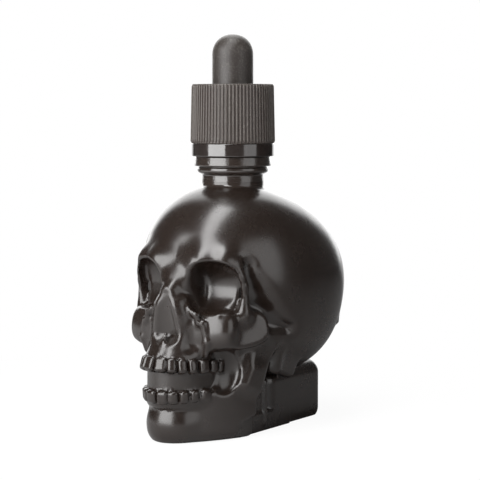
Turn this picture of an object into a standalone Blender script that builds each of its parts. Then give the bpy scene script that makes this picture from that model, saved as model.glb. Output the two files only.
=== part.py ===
"""A small dropper bottle whose body is a skull, with its cap, rubber bulb and glass pipette.

The skull is modelled the way a sculptor blocks one out: balls, rods, boxes and oval columns are
added to and cut from a solid with soft joins, as a distance field over one half of the head. The
field is turned into a mesh and mirrored. The neck, the cap, the bulb and the pipette are turned.
"""

import math
from typing import NamedTuple

import bmesh
import bpy
import numpy as np
import openvdb
from mathutils import Matrix

# The glass neck, in metres
GAP = 0.0003
NECK_BASE = 0.0650
NECK_RADIUS = 0.00835
NECK_LENGTH = 0.0035
LOW_RING_RADIUS = 0.00955
LOW_RING_HEIGHT = 0.0025
HIGH_RING_RADIUS = 0.0103
HIGH_RING_HEIGHT = 0.0025
FINISH_RADIUS = 0.00795
FINISH_HEIGHT = 0.0165
BEAD_CLEARANCE = 0.00085
BORE_RADIUS = 0.00575
GLASS_WALL = 0.0030

# The screw thread
THREAD_PITCH = 0.0030
THREAD_TURNS = 1.5
THREAD_DEPTH = 0.0009
THREAD_WIDTH = 0.0012
THREAD_DROP = 0.0015

# The cap and its tamper band
COLLAR_RADIUS = 0.01150
COLLAR_TOP_RADIUS = 0.01115
COLLAR_WEB = 0.0012
RIB_COUNT = 72
RIB_DEPTH = 0.00035
BAND_RADIUS = 0.01115
BAND_WALL = 0.0008
BAND_HEIGHT = 0.0032
CATCH_GRIP = 0.0001

# The rubber bulb
BULB_RADIUS = 0.00555
BULB_WALL = 0.0011
BULB_RISE = 0.0134
FLANGE_RADIUS = 0.0074
FLANGE_THICKNESS = 0.0013
PLUG_LENGTH = 0.0030

# The glass pipette
PIPETTE_RADIUS = 0.0035
PIPETTE_WALL = 0.0010
PIPETTE_TIP_RADIUS = 0.0015
PIPETTE_TIP_HOLE = 0.0007
PIPETTE_TAPER = 0.0120
PIPETTE_FLOOR_GAP = 0.0050
PIPETTE_IN_BULB = 0.0045

# How finely the skull is meshed, in millimetres, and its faces after thinning
SKULL_CELL = 0.7
SKULL_FACES = 6600
CAVITY_CELL = 1.4
CAVITY_FACES = 1200

MM = 0.001
OVERCUT = 0.01
TURN_STEPS = 48
NAME = "skull_bitters_bottle"

# Radii and heights that follow from the sizes above
BEAD_RADIUS = BAND_RADIUS - BAND_WALL - BEAD_CLEARANCE
LOW_RING_BASE = NECK_BASE + NECK_LENGTH
HIGH_RING_BASE = LOW_RING_BASE + LOW_RING_HEIGHT
FINISH_BASE = HIGH_RING_BASE + HIGH_RING_HEIGHT
LIP = FINISH_BASE + FINISH_HEIGHT
BAND_BASE = FINISH_BASE + GAP
COLLAR_BASE = BAND_BASE + BAND_HEIGHT + GAP
FLANGE_BASE = LIP + GAP
WEB_BASE = FLANGE_BASE + FLANGE_THICKNESS + GAP
COLLAR_TOP = WEB_BASE + COLLAR_WEB
BULB_TOP = COLLAR_TOP + BULB_RISE


class Shape(NamedTuple):
    """A solid as its distance function, with the box that it fills."""

    low: tuple
    high: tuple
    distance: object


class Step(NamedTuple):
    """One move of the sculptor: a shape added or cut, and how softly."""

    rule: object
    shape: Shape
    soft: float


def turned(x, y, z, turn):
    """A point seen from a shape that is turned by these degrees about X, then Y, then Z."""
    c, s = math.cos(math.radians(turn[2])), math.sin(math.radians(turn[2]))
    x, y = c * x + s * y, c * y - s * x
    c, s = math.cos(math.radians(turn[1])), math.sin(math.radians(turn[1]))
    z, x = c * z + s * x, c * x - s * z
    c, s = math.cos(math.radians(turn[0])), math.sin(math.radians(turn[0]))
    return x, c * y + s * z, c * z - s * y


def rounded(shares, radii, square):
    """The distance to a rounded form from each axis' share of its radius."""
    shares = [abs(share) + 1e-6 for share in shares]
    level = sum(share**square for share in shares) ** (1 / square)
    slope = sum(((share / level) ** (square - 1) / radius) ** 2 for share, radius in zip(shares, radii))
    return (level - 1) / np.sqrt(slope)


def ball(at, radii, turn=(0, 0, 0), square=2.0):
    """An egg-like ball. A higher square flattens its sides."""
    reach = 1.3 * max(radii)

    def distance(x, y, z):
        x, y, z = turned(x - at[0], y - at[1], z - at[2], turn)
        return rounded((x / radii[0], y / radii[1], z / radii[2]), radii, square)

    return Shape([c - reach for c in at], [c + reach for c in at], distance)


def rod(start, end, radius, end_radius=None):
    """A bar with round ends."""
    start, end = np.array(start, float), np.array(end, float)
    along = end - start
    widening = 0 if end_radius is None else end_radius - radius

    def distance(x, y, z):
        x, y, z = x - start[0], y - start[1], z - start[2]
        share = np.clip((x * along[0] + y * along[1] + z * along[2]) / (along @ along), 0, 1)
        gap = (x - share * along[0]) ** 2 + (y - share * along[1]) ** 2 + (z - share * along[2]) ** 2
        return np.sqrt(gap) - radius - share * widening

    reach = radius + max(widening, 0)
    return Shape(np.minimum(start, end) - reach, np.maximum(start, end) + reach, distance)


def box(at, half, turn=(0, 0, 0), edge=0.5):
    """A box with round edges."""
    reach = [math.hypot(*half)] * 3 if any(turn) else half

    def distance(x, y, z):
        place = turned(x - at[0], y - at[1], z - at[2], turn)
        out = [abs(c) - h + edge for c, h in zip(place, half)]
        outside = np.sqrt(sum(np.maximum(c, 0) ** 2 for c in out))
        return outside + np.minimum(np.maximum(np.maximum(out[0], out[1]), out[2]), 0) - edge

    return Shape(np.subtract(at, reach), np.add(at, reach), distance)


def column(low, high, edge=1.0, square=2.0):
    """An upright oval column. Each end is its height, its y, its half width and its half length."""
    middle, half = (low[0] + high[0]) / 2, (high[0] - low[0]) / 2

    def distance(x, y, z):
        share = np.clip((z - low[0]) / (high[0] - low[0]), 0, 1)
        y0, wide, long = (a + share * (b - a) for a, b in zip(low[1:], high[1:]))
        side = rounded((x / wide, (y - y0) / long), (wide, long), square) + edge
        cap = abs(z - middle) - half + edge
        outside = np.sqrt(np.maximum(side, 0) ** 2 + np.maximum(cap, 0) ** 2)
        return outside + np.minimum(np.maximum(side, cap), 0) - edge

    wide = max(low[2], high[2])
    front = min(low[1] - low[3], high[1] - high[3])
    rear = max(low[1] + low[3], high[1] + high[3])
    return Shape((-wide, front, low[0]), (wide, rear, high[0]), distance)


def merge(a, b, soft):
    """Two fields joined, with a fillet where soft is over 0."""
    blend = np.maximum(soft - abs(a - b), 0) / max(soft, 1e-6)
    return np.minimum(a, b) - blend * blend * soft / 4


def carve(a, b, soft):
    """The second field cut out of the first, with a rounded edge where soft is over 0."""
    return -merge(-a, b, soft)


def add(shape, soft=0.0):
    return Step(merge, shape, soft)


def cut(shape, soft=0.0):
    return Step(carve, shape, soft)


def joined(shapes, soft):
    """Several shapes as one."""

    def distance(x, y, z):
        total = shapes[0].distance(x, y, z)
        for shape in shapes[1:]:
            total = merge(total, shape.distance(x, y, z), soft)
        return total

    low = np.min([shape.low for shape in shapes], axis=0)
    high = np.max([shape.high for shape in shapes], axis=0)
    return Shape(low, high, distance)


def common(first, second, soft):
    """What two shapes share."""

    def distance(x, y, z):
        return -merge(-first.distance(x, y, z), -second.distance(x, y, z), soft)

    low = np.maximum(first.low, second.low)
    return Shape(low, np.minimum(first.high, second.high), distance)


# The skull, in millimetres: x to its left, y to its back, z up from the table
BRAINCASE_AT, BRAINCASE = (0, 6.2, 38.8), (25.4, 28.7, 25.3)
CROWN_AT, CROWN = (0, 10.3, 39.0), (19.0, 30.0, 14.6)
FOREHEAD_AT, FOREHEAD = (0, -7.2, 45.0), (18.0, 18.6, 19.2)
BLOCK_AT, BLOCK = (0, 12.1, 7.3), (13.0, 14.5, 8.7)
CORE_AT, CORE = (0, -1.0, 12.3), (10.0, 16.5, 12.3)
JAW_WIDTH, JAW_LENGTH, JAW_Y = 16.0, 26.0, -9.0
ARCH_WIDTH, ARCH_LENGTH = 9.6, 15.8
TOOTH_ALONG = (1.55, 4.35, 7.1, 10.0, 13.6, 17.1, 19.9)
TOOTH_WIDTHS = (2.9, 2.3, 2.3, 2.2, 2.8, 2.4, 2.0)
TOOTH_THICKNESS = 1.5
EYE_DEPTH = 7.0
NECK_INSET, NECK_FILLET = 0.25, 0.9
BELOW = -0.4
THROUGH = 30.0


def cranium():
    yield add(ball(BRAINCASE_AT, BRAINCASE, turn=(-18, 0, 0), square=2.25))
    yield add(ball(CROWN_AT, CROWN), 4)
    yield add(ball(FOREHEAD_AT, FOREHEAD, square=2.08), 8)


def jaw():
    """A pointed arch in plan. A round cut opens the mouth, and leaves a lip at its rear."""
    foot = (BELOW, JAW_Y, JAW_WIDTH, JAW_LENGTH)
    top = (27, JAW_Y + 1, JAW_WIDTH + 0.4, JAW_LENGTH - 2.4)
    arch = column(foot, top, edge=3.2, square=1.5)
    front = box((0, -22.1, 12), (THROUGH, 11.5, 20), edge=1.5)
    yield add(common(arch, front, 2.5), 1)
    yield add(box((15.6, -11.4, 20.0), (1.8, 3.6, 8.0), turn=(-20, 8, -6), edge=1.6), 3)
    round_end = rod((0, -28.6, 19.3), (THROUGH, -28.6, 19.3), 7.6)
    mouth = joined([round_end, box((0, -42, 19.3), (THROUGH, 13, 7.9), edge=3)], 1)
    yield cut(mouth, 0.6)
    yield cut(ball((11.9, -21.6, 18.4), (2.4, 5.0, 6.2), turn=(0, 0, -22)), 0.6)
    yield cut(ball((18.3, -17.4, 20.5), (1.4, 1.7, 6.0), turn=(-14, 8, -12)), 1.5)
    yield cut(ball((19.4, -13.0, 22.4), (2.6, 4.2, 3.8), turn=(-20, 0, -8)), 2)
    yield cut(ball((0, -37.4, 11.0), (8, 4.2, 3.4)), 2.5)
    yield add(ball((0, -28.6, 4.8), (6.4, 4.9, 4.6)), 3)


def temples():
    """The hollow behind the bar beside each eye. It narrows upwards, and runs on to the ear."""
    path = [(16.2, -18.0, 45), (17.2, -16.9, 38.5), (18.4, -15.2, 33.6)]
    path += [(19.6, -12.0, 30.9), (20.8, -5, 28.6)]
    radii = (0.6, 1.8, 3.0, 2.0, 0.4)
    hollow = [rod(path[i], path[i + 1], radii[i], radii[i + 1]) for i in range(4)]
    yield cut(joined(hollow, 3), 3)


def brow():
    """The ridge over the eyes, from the root of the nose round to the bar beside each eye."""
    yield add(ball((0, -18.4, 45.8), (11, 5, 4.5)), 4)
    ridge = [
        rod((0, -23.2, 44.4), (6.5, -24.2, 46.2), 2.4, 2.7),
        rod((6.5, -24.2, 46.2), (12.0, -22.0, 46.4), 2.7, 2.0),
        rod((12.0, -22.0, 46.4), (15.8, -19.4, 42.6), 2.0, 1.2),
    ]
    yield add(joined(ridge, 2), 5)


def muzzle():
    yield add(column((21.2, -20.4, 9.6, 15.2), (31, -17.6, 8, 12.6), edge=1.8, square=2.1), 1)
    yield add(column((27, -17.4, 8, 12.2), (40, -14, 6, 10.5), edge=2), 4)


def cheek():
    """The bar beside the eye, the rim below it, and the cheekbone with its two crests."""
    yield add(rod((14.6, -20.2, 46.2), (16.2, -19.1, 40.5), 1.3, 1.2), 1.5)
    yield add(rod((16.2, -19.1, 40.5), (16.3, -18.9, 33), 1.2, 1.6), 1)
    yield add(box((6.2, -25.2, 27.5), (3.4, 3.0, 5.0), turn=(0, 0, 33), edge=2), 1.5)
    yield add(ball((10.9, -24.0, 29.6), (5.4, 3.1, 5.6), turn=(-8, 0, 14), square=2.2), 2)
    yield add(rod((6.4, -28.9, 36.2), (8.6, -27.9, 34.6), 0.7, 0.6), 1)
    yield add(rod((8.6, -27.9, 34.6), (12.5, -25.6, 34.4), 0.6, 0.5), 1)
    yield add(rod((6.4, -28.9, 36.2), (8.3, -28.2, 31.4), 0.7, 0.5), 1)
    yield add(rod((9.4, -27.6, 31.4), (10.3, -27.1, 26.4), 0.6, 0.6), 1)
    yield add(rod((10.3, -27.1, 26.4), (9.6, -26.7, 22.8), 0.6, 0.4), 1.2)
    side = ball((16.1, -18.0, 29.1), (6, 6.6, 4.6), turn=(9, 0, -20), square=2.6)
    yield add(common(side, box((15.4, -18.2, 29), (1.9, 9, 7), turn=(0, -6, -28), edge=1.2), 1.2), 2.5)
    yield add(rod((17.2, -12, 27.4), (19.4, -1, 26.4), 0.8, 0.6), 2)


def nose():
    """The nasal bones, the open scoop below their tip with its rim, and the crests beside them."""
    hull = [
        rod((0, -22.8, 46), (0, -28.6, 39.2), 1.7, 2.6),
        rod((0, -28.4, 39.0), (0, -26.9, 35.0), 2.7, 5.4),
        rod((0, -26.9, 35.0), (0, -25.6, 31.5), 5.4, 6.4),
        rod((0, -25.6, 31.5), (0, -26.2, 25.0), 6.4, 6.4),
    ]
    yield add(ball((0, -22.5, 41.5), (6.2, 6.8, 6.0)), 1.5)
    yield add(joined(hull, 1), 1.2)
    yield add(rod((5.6, -28.2, 38), (6.8, -28.4, 34.0), 0.9, 0.8), 1.2)
    yield cut(rod((6.8, -30.3, 33.0), (7.9, -30.6, 26.0), 0.9, 2.3), 1.2)
    scoop = rod((0, -33.3, 38.9), (0, -33.4, 32.4), 2.2, 5.8)
    yield cut(common(scoop, box((0, -32, 34.8), (9, 6, 6.6), edge=0.8), 2.4), 0.9)
    yield add(rod((0, -31.0, 28.3), (0, -34.0, 23.4), 0.5, 0.5), 1.2)


def eyes():
    """Each socket: three round bores for its outline, and a drum across the face for its floor."""
    outline = joined(
        [
            rod((10.4, -36, 42.1), (10.4, -8, 42.1), 5.7),
            rod((12.4, -36, 37.3), (12.4, -8, 37.3), 3.3),
            rod((8.9, -36, 37.6), (8.9, -8, 37.6), 3.5),
        ],
        3,
    )
    drum = rod((4.6, -26.8, 40.4), (THROUGH, -23.8, 40.4), EYE_DEPTH)
    yield cut(common(outline, drum, 1.6), 1.1)


def gums():
    yield add(column((9, -19.5, 9.3, 15.0), (24, -19.7, 9.1, 14.6), edge=1.5, square=2.1), 0.6)
    yield add(column((9.6, -19.0, 9.0, 14.2), (12.6, -19.2, 9.5, 14.9), edge=1.4, square=2.1), 2.0)


def place_on_arch(distance):
    """Where a point lies on the dental arch this far from its front, and which way it faces."""
    angle, step = 0.0, 0.002
    while distance > 0:
        distance -= step * math.hypot(ARCH_WIDTH * math.cos(angle), ARCH_LENGTH * math.sin(angle))
        angle += step
    x, y = ARCH_WIDTH * math.sin(angle), -ARCH_LENGTH * math.cos(angle)
    facing = math.degrees(math.atan2(x / ARCH_WIDTH**2, -y / ARCH_LENGTH**2))
    return x, y, facing


def tooth_row(y0, front, rear, lean, count):
    """Half a row of teeth. front and rear give the height and half height at the row's ends."""
    for along, width in zip(TOOTH_ALONG[:count], TOOTH_WIDTHS):
        x, y, facing = place_on_arch(along)
        share = along / TOOTH_ALONG[-1]
        height, half = (a + share * (b - a) for a, b in zip(front, rear))
        size = (width / 2 + 0.03, TOOTH_THICKNESS, half)
        at = (x * 0.95, y * 0.965 + y0, height)
        tooth = box(at, size, turn=(-lean * (1 - share), 0, facing), edge=0.75)
        yield add(tooth, 0.25)


def teeth():
    yield from tooth_row(-20.0, (21.0, 2.0), (19.5, 1.7), 22, 7)
    yield from tooth_row(-19.2, (12.4, 1.8), (12.6, 1.4), -6, 6)


def ear():
    """The wedge of bone behind the ear, and the ridge round the back of the head."""
    yield add(rod((17.4, -3.6, 25), (16.6, -3.8, 17.4), 1.2, 0.9), 1.5)
    yield add(box((15.3, 1.2, 21.6), (2.6, 6.6, 7.0), turn=(-16, 9, 0), edge=2.0), 1.6)
    ridge = column((26.6, 7.6, 23.8, 27.2), (36, 7.6, 23.8, 27.2), edge=0.8)
    yield add(common(ridge, box((0, 36, 30), (21, 17, 9), edge=4), 2), 0.8)


def base():
    """The block behind the jaw, the slab between them, and the core that joins them inside."""
    yield add(box(BLOCK_AT, (BLOCK[0], BLOCK[1], BLOCK[2] - BELOW / 2), edge=4.0), 0.5)
    yield cut(box((18.2, -6.6, 2.8), (4.4, 11, 4.0), turn=(14, 0, 0), edge=0.6), 0.8)
    yield add(box((0, -3.5, 2.5), (BLOCK[0] - 0.05, 13, 2.5 - BELOW), edge=0.8), 0.2)
    yield add(box((0, -6.5, 8.2), (12.7, 3.8, 6.5), edge=1), 1.0)
    yield add(rod((12.6, -3.9, 2), (12.6, -3.9, 13.2), 1.0), 0.3)
    yield add(box(CORE_AT, (CORE[0], CORE[1], CORE[2] - BELOW), edge=2), 1)


def neck():
    radius = NECK_RADIUS / MM - NECK_INSET
    foot, top = NECK_BASE / MM - 10, (NECK_BASE + NECK_LENGTH / 2) / MM
    yield add(column((foot, 0, radius, radius), (top, 0, radius, radius), edge=0.3), NECK_FILLET)


def skull_steps():
    for bones in (cranium, jaw, brow, temples, muzzle, cheek, nose, eyes, gums, teeth, ear, base, neck):
        yield from bones()


def field_of(steps, cell):
    """The steps' field on a grid over x from 0 up, and the grid's corner. Below 0 is inside."""
    steps = list(steps)
    low = np.min([step.shape.low for step in steps if step.rule is merge], axis=0) - 4 * cell
    high = np.max([step.shape.high for step in steps if step.rule is merge], axis=0) + 4 * cell
    low[0] = 0.0
    counts = [math.ceil((b - a) / cell) + 1 for a, b in zip(low, high)]
    axes = [a + cell * np.arange(n) for a, n in zip(low, counts)]
    field = np.full(counts, 9.0, np.float32)
    for rule, shape, soft in steps:
        margin = soft + 3 * cell + GLASS_WALL / MM
        cells = tuple(
            slice(np.searchsorted(axis, a - margin), np.searchsorted(axis, b + margin))
            for axis, a, b in zip(axes, shape.low, shape.high)
        )
        if all(part.start < part.stop for part in cells):
            x, y, z = np.ix_(*(axis[part] for axis, part in zip(axes, cells)))
            field[cells] = rule(field[cells], shape.distance(x, y, z), soft)
    return field, low


def mesh_of_field(name, field, corner, cell, level, faces):
    """Both halves of a field as one closed mesh in metres, thinned to about this many faces."""
    whole = np.concatenate([field[:0:-1], field])
    corner = corner - [cell * (field.shape[0] - 1), 0, 0]
    grid = openvdb.FloatGrid(9.0)
    grid.copyFromArray(np.ascontiguousarray(whole))
    points, quads = grid.convertToQuads(level)
    mesh = bpy.data.meshes.new(name)
    mesh.from_pydata((points * cell + corner) * MM, [], quads[:, ::-1])
    keep_largest(mesh)
    obj = bpy.data.objects.new(name, mesh)
    CUTTERS.objects.link(obj)
    obj.modifiers.new("smooth", "SMOOTH").iterations = 2
    thin = obj.modifiers.new("thin", "DECIMATE")
    thin.ratio = faces / (2 * len(mesh.polygons))
    result = evaluated_copy(obj, name)
    bpy.data.objects.remove(obj)
    return result


def keep_largest(mesh):
    """Deletes all but the largest of a mesh's separate bodies, and turns its faces outwards."""
    bm = bmesh.new()
    bm.from_mesh(mesh)
    left = set(bm.verts)
    largest = set()
    while left:
        body, front = set(), [left.pop()]
        while front:
            vert = front.pop()
            body.add(vert)
            for edge in vert.link_edges:
                other = edge.other_vert(vert)
                if other in left:
                    left.discard(other)
                    front.append(other)
        largest = max(largest, body, key=len)
    bmesh.ops.delete(bm, geom=[vert for vert in bm.verts if vert not in largest], context="VERTS")
    bmesh.ops.recalc_face_normals(bm, faces=bm.faces)
    bm.to_mesh(mesh)
    bm.free()


def evaluated_copy(obj, name):
    """The object's mesh with its modifiers applied, as a new mesh."""
    graph = bpy.context.evaluated_depsgraph_get()
    graph.update()
    mesh = bpy.data.meshes.new_from_object(obj.evaluated_get(graph))
    mesh.name = name
    return mesh


def clear_scene():
    for obj in list(bpy.data.objects):
        bpy.data.objects.remove(obj)


def collection(name):
    made = bpy.data.collections.new(name)
    bpy.context.scene.collection.children.link(made)
    return made


def object_of(mesh, name, where):
    obj = bpy.data.objects.new(name, mesh)
    where.objects.link(obj)
    return obj


def cutter(mesh, name):
    """A helper solid for a Boolean, kept out of renders."""
    obj = object_of(mesh, name, CUTTERS)
    obj.hide_render = True
    obj.display_type = "WIRE"
    return obj


def boolean(obj, other, operation):
    modifier = obj.modifiers.new(other.name, "BOOLEAN")
    modifier.operation = operation
    modifier.object = other


def turned_mesh(name, profile, closed=False, steps=TURN_STEPS):
    """A profile of (radius, height) points turned round Z. A closed one makes a ring."""
    mesh = bpy.data.meshes.new(name)
    points = [(radius, 0, height) for radius, height in profile]
    edges = [(i, i + 1) for i in range(len(points) - 1)]
    if closed:
        edges.append((len(points) - 1, 0))
    mesh.from_pydata(points, edges, [])
    obj = object_of(mesh, name, CUTTERS)
    screw = obj.modifiers.new("turn", "SCREW")
    screw.steps = screw.render_steps = steps
    screw.use_merge_vertices = True
    screw.merge_threshold = 1e-6
    result = evaluated_copy(obj, name)
    bpy.data.objects.remove(obj)
    bm = bmesh.new()
    bm.from_mesh(result)
    bmesh.ops.remove_doubles(bm, verts=bm.verts, dist=1e-7)
    bmesh.ops.recalc_face_normals(bm, faces=bm.faces)
    bm.to_mesh(result)
    bm.free()
    return result


def helix_mesh(name, root, crest, base, start):
    """A thread ridge from the root radius to the crest, rising to its left. Its ends fade out."""
    steps = round(THREAD_TURNS * TURN_STEPS)
    sunk = root + math.copysign(0.0004, root - crest)
    half = THREAD_WIDTH / 2
    profile = [(sunk, -half), (crest, -half * 0.45), (crest, half * 0.45), (sunk, half)]
    bm = bmesh.new()
    bm.faces.new([bm.verts.new((radius, 0, base + height)) for radius, height in profile])
    bmesh.ops.spin(
        bm,
        geom=bm.faces[:],
        cent=(0, 0, 0),
        axis=(0, 0, 1),
        dvec=(0, 0, THREAD_PITCH / TURN_STEPS),
        angle=math.tau * THREAD_TURNS,
        steps=steps,
        use_duplicate=False,
    )
    bmesh.ops.recalc_face_normals(bm, faces=bm.faces)
    bmesh.ops.rotate(bm, verts=bm.verts, cent=(0, 0, 0), matrix=Matrix.Rotation(start, 3, "Z"))
    mesh = bpy.data.meshes.new(name)
    bm.to_mesh(mesh)
    bm.free()
    return mesh


def ribbed_mesh(name):
    """A tapered cylinder whose wall has ribs: every other edge of its side moved inwards."""
    height = COLLAR_TOP - COLLAR_BASE
    bm = bmesh.new()
    bmesh.ops.create_cone(
        bm,
        cap_ends=True,
        segments=2 * RIB_COUNT,
        radius1=COLLAR_RADIUS,
        radius2=COLLAR_TOP_RADIUS,
        depth=height,
        matrix=Matrix.Translation((0, 0, COLLAR_BASE + height / 2)),
    )
    for vert in bm.verts:
        angle = math.atan2(vert.co.y, vert.co.x) / math.tau * 2 * RIB_COUNT
        if round(angle) % 2:
            radius = vert.co.xy.length
            vert.co.xy *= (radius - RIB_DEPTH) / radius
    mesh = bpy.data.meshes.new(name)
    bm.to_mesh(mesh)
    bm.free()
    return mesh


def material(name, colour, roughness, coat=0.0, clear=0.0):
    made = bpy.data.materials.new(name)
    made.use_nodes = True
    shader = made.node_tree.nodes["Principled BSDF"]
    shader.inputs["Base Color"].default_value = (*colour, 1)
    shader.inputs["Roughness"].default_value = roughness
    shader.inputs["Coat Weight"].default_value = coat
    shader.inputs["Transmission Weight"].default_value = clear
    return made


def finish(obj, made_of):
    """Gives a piece its material and smooth shading."""
    obj.data.materials.clear()
    obj.data.materials.append(made_of)
    obj.data.shade_smooth()
    obj.data.set_sharp_from_angle(angle=math.radians(35))


def neck_profile():
    """The glass above the skull: two rings, the bead that holds the band, and the lip."""
    inside = NECK_BASE - 0.003
    step = 0.0003
    bead = FINISH_BASE + BAND_HEIGHT * 0.6
    return [
        (0, LIP),
        (FINISH_RADIUS - 2 * step, LIP),
        (FINISH_RADIUS, LIP - 2 * step),
        (FINISH_RADIUS, bead + 0.0010),
        (BEAD_RADIUS, bead + 0.0004),
        (BEAD_RADIUS, bead - 0.0002),
        (FINISH_RADIUS, bead - 0.0006),
        (FINISH_RADIUS, FINISH_BASE),
        (HIGH_RING_RADIUS - step, FINISH_BASE),
        (HIGH_RING_RADIUS, FINISH_BASE - step),
        (HIGH_RING_RADIUS - step, HIGH_RING_BASE + step),
        (LOW_RING_RADIUS - step, HIGH_RING_BASE),
        (LOW_RING_RADIUS, HIGH_RING_BASE - step),
        (LOW_RING_RADIUS, LOW_RING_BASE + 4 * step),
        (NECK_RADIUS, LOW_RING_BASE),
        (NECK_RADIUS, inside),
        (0, inside),
    ]


def make_bottle(glass):
    """The skull, with the neck and its thread joined on and the inside cut out."""
    steps = list(skull_steps())
    outer, corner = field_of(steps, SKULL_CELL)
    skull = mesh_of_field("skull_bottle", outer, corner, SKULL_CELL, 0.0, SKULL_FACES)
    bottle = object_of(skull, "skull_bottle", PARTS)
    boolean(bottle, cutter(turned_mesh("neck_blank", neck_profile()), "neck_blank"), "UNION")
    start = LIP - THREAD_DROP - THREAD_PITCH * THREAD_TURNS - THREAD_WIDTH / 2
    thread = helix_mesh("glass_thread", FINISH_RADIUS, FINISH_RADIUS + THREAD_DEPTH, start, 0)
    boolean(bottle, cutter(thread, "glass_thread"), "UNION")
    inner, corner = field_of(steps, CAVITY_CELL)
    hollow = mesh_of_field("hollow", inner, corner, CAVITY_CELL, -GLASS_WALL / MM, CAVITY_FACES)
    boolean(bottle, cutter(hollow, "hollow"), "DIFFERENCE")
    top, foot = LIP + OVERCUT, BRAINCASE_AT[2] * MM
    bore = [(0, top), (BORE_RADIUS, top), (BORE_RADIUS, foot), (0, foot)]
    boolean(bottle, cutter(turned_mesh("bore", bore), "bore"), "DIFFERENCE")
    bm = bmesh.new()
    size = 2 * LIP
    bmesh.ops.create_cube(bm, size=size, matrix=Matrix.Translation((0, 0, -size / 2)))
    ground = bpy.data.meshes.new("ground")
    bm.to_mesh(ground)
    bm.free()
    boolean(bottle, cutter(ground, "ground"), "DIFFERENCE")
    finish(bottle, glass)


def make_band(plastic):
    """The ring that stays on the neck when the cap is first unscrewed."""
    inner = BAND_RADIUS - BAND_WALL
    catch = BEAD_RADIUS - CATCH_GRIP
    edge = 0.0002
    top = BAND_BASE + BAND_HEIGHT
    profile = [
        (inner, top),
        (BAND_RADIUS - edge, top),
        (BAND_RADIUS, top - edge),
        (BAND_RADIUS, BAND_BASE + edge),
        (BAND_RADIUS - edge, BAND_BASE),
        (catch, BAND_BASE),
        (catch, BAND_BASE + 0.0005),
        (inner, BAND_BASE + 0.0009),
    ]
    finish(object_of(turned_mesh("tamper_band", profile, closed=True), "tamper_band", PARTS), plastic)


def make_collar(plastic):
    """The ribbed cap: a skirt with a thread inside, and a web with a hole for the bulb."""
    collar = object_of(ribbed_mesh("screw_collar"), "screw_collar", PARTS)
    inner = FINISH_RADIUS + THREAD_DEPTH + GAP
    hole = BULB_RADIUS + GAP
    inside = [
        (0, COLLAR_TOP + OVERCUT),
        (hole, COLLAR_TOP + OVERCUT),
        (hole, WEB_BASE),
        (inner, WEB_BASE),
        (inner, COLLAR_BASE - OVERCUT),
        (0, COLLAR_BASE - OVERCUT),
    ]
    boolean(collar, cutter(turned_mesh("collar_inside", inside), "collar_inside"), "DIFFERENCE")
    start = LIP - THREAD_DROP - THREAD_PITCH * (THREAD_TURNS + 0.5) - THREAD_WIDTH / 2
    thread = helix_mesh("collar_thread", inner, inner - THREAD_DEPTH + GAP, start, 0)
    boolean(collar, cutter(thread, "collar_thread"), "UNION")
    finish(collar, plastic)


def make_bulb(rubber):
    """The squeeze bulb, open below, with the flange that the cap clamps on the lip."""
    inner = BULB_RADIUS - BULB_WALL
    grip = PIPETTE_RADIUS + GAP
    plug = BORE_RADIUS - GAP
    foot = FLANGE_BASE - PLUG_LENGTH
    shelf = FLANGE_BASE + PIPETTE_IN_BULB + GAP
    dome = BULB_TOP - BULB_RADIUS
    arc = [math.radians(angle) for angle in range(0, 91, 15)]
    outer_dome = [(BULB_RADIUS * math.cos(a), dome + BULB_RADIUS * math.sin(a)) for a in reversed(arc[:-1])]
    inner_dome = [(inner * math.cos(a), dome + inner * math.sin(a)) for a in arc[:-1]]
    profile = [
        (0, BULB_TOP),
        *outer_dome,
        (BULB_RADIUS, FLANGE_BASE + FLANGE_THICKNESS),
        (FLANGE_RADIUS, FLANGE_BASE + FLANGE_THICKNESS),
        (FLANGE_RADIUS, FLANGE_BASE),
        (plug, FLANGE_BASE),
        (plug, foot),
        (grip, foot),
        (grip, shelf),
        (inner, shelf + 0.0006),
        *inner_dome,
        (0, dome + inner),
    ]
    finish(object_of(turned_mesh("rubber_bulb", profile), "rubber_bulb", PARTS), rubber)


def make_pipette(glass):
    """The glass tube, drawn down to a narrow tip above the bottle's floor."""
    tip = GLASS_WALL + PIPETTE_FLOOR_GAP
    top = FLANGE_BASE + PIPETTE_IN_BULB
    bore = PIPETTE_RADIUS - PIPETTE_WALL
    profile = [
        (bore, top),
        (PIPETTE_RADIUS, top),
        (PIPETTE_RADIUS, tip + PIPETTE_TAPER),
        (PIPETTE_TIP_RADIUS + 0.4 * (PIPETTE_RADIUS - PIPETTE_TIP_RADIUS), tip + PIPETTE_TAPER * 0.55),
        (PIPETTE_TIP_RADIUS, tip + PIPETTE_TAPER * 0.2),
        (PIPETTE_TIP_RADIUS, tip),
        (PIPETTE_TIP_HOLE, tip),
        (PIPETTE_TIP_HOLE, tip + PIPETTE_TAPER * 0.2),
        (PIPETTE_TIP_HOLE + 0.4 * (bore - PIPETTE_TIP_HOLE), tip + PIPETTE_TAPER * 0.55),
        (bore, tip + PIPETTE_TAPER),
    ]
    drawn = turned_mesh("glass_pipette", profile, closed=True, steps=24)
    finish(object_of(drawn, "glass_pipette", PARTS), glass)


clear_scene()
PARTS = collection(NAME)
CUTTERS = collection("cutters")
make_bottle(material("coated_glass", (0.020, 0.018, 0.017), 0.30, coat=0.3))
make_band(material("gloss_plastic", (0.018, 0.018, 0.018), 0.22))
make_collar(material("satin_plastic", (0.030, 0.029, 0.028), 0.42))
make_bulb(material("black_rubber", (0.028, 0.027, 0.027), 0.55))
make_pipette(material("clear_glass", (0.95, 0.97, 0.97), 0.03, clear=1.0))
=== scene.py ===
"""Dresses a small dropper bottle whose body is a skull: coated glass, cap, band, bulb and pipette.

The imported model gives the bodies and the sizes. Each operator below makes one piece in its place,
and the panel lists them. The skull is a distance field of balls, rods, boxes and oval columns,
meshed finely. Geometry Nodes make the cap's ribs, the band's stubs and both threads.
"""

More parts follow.
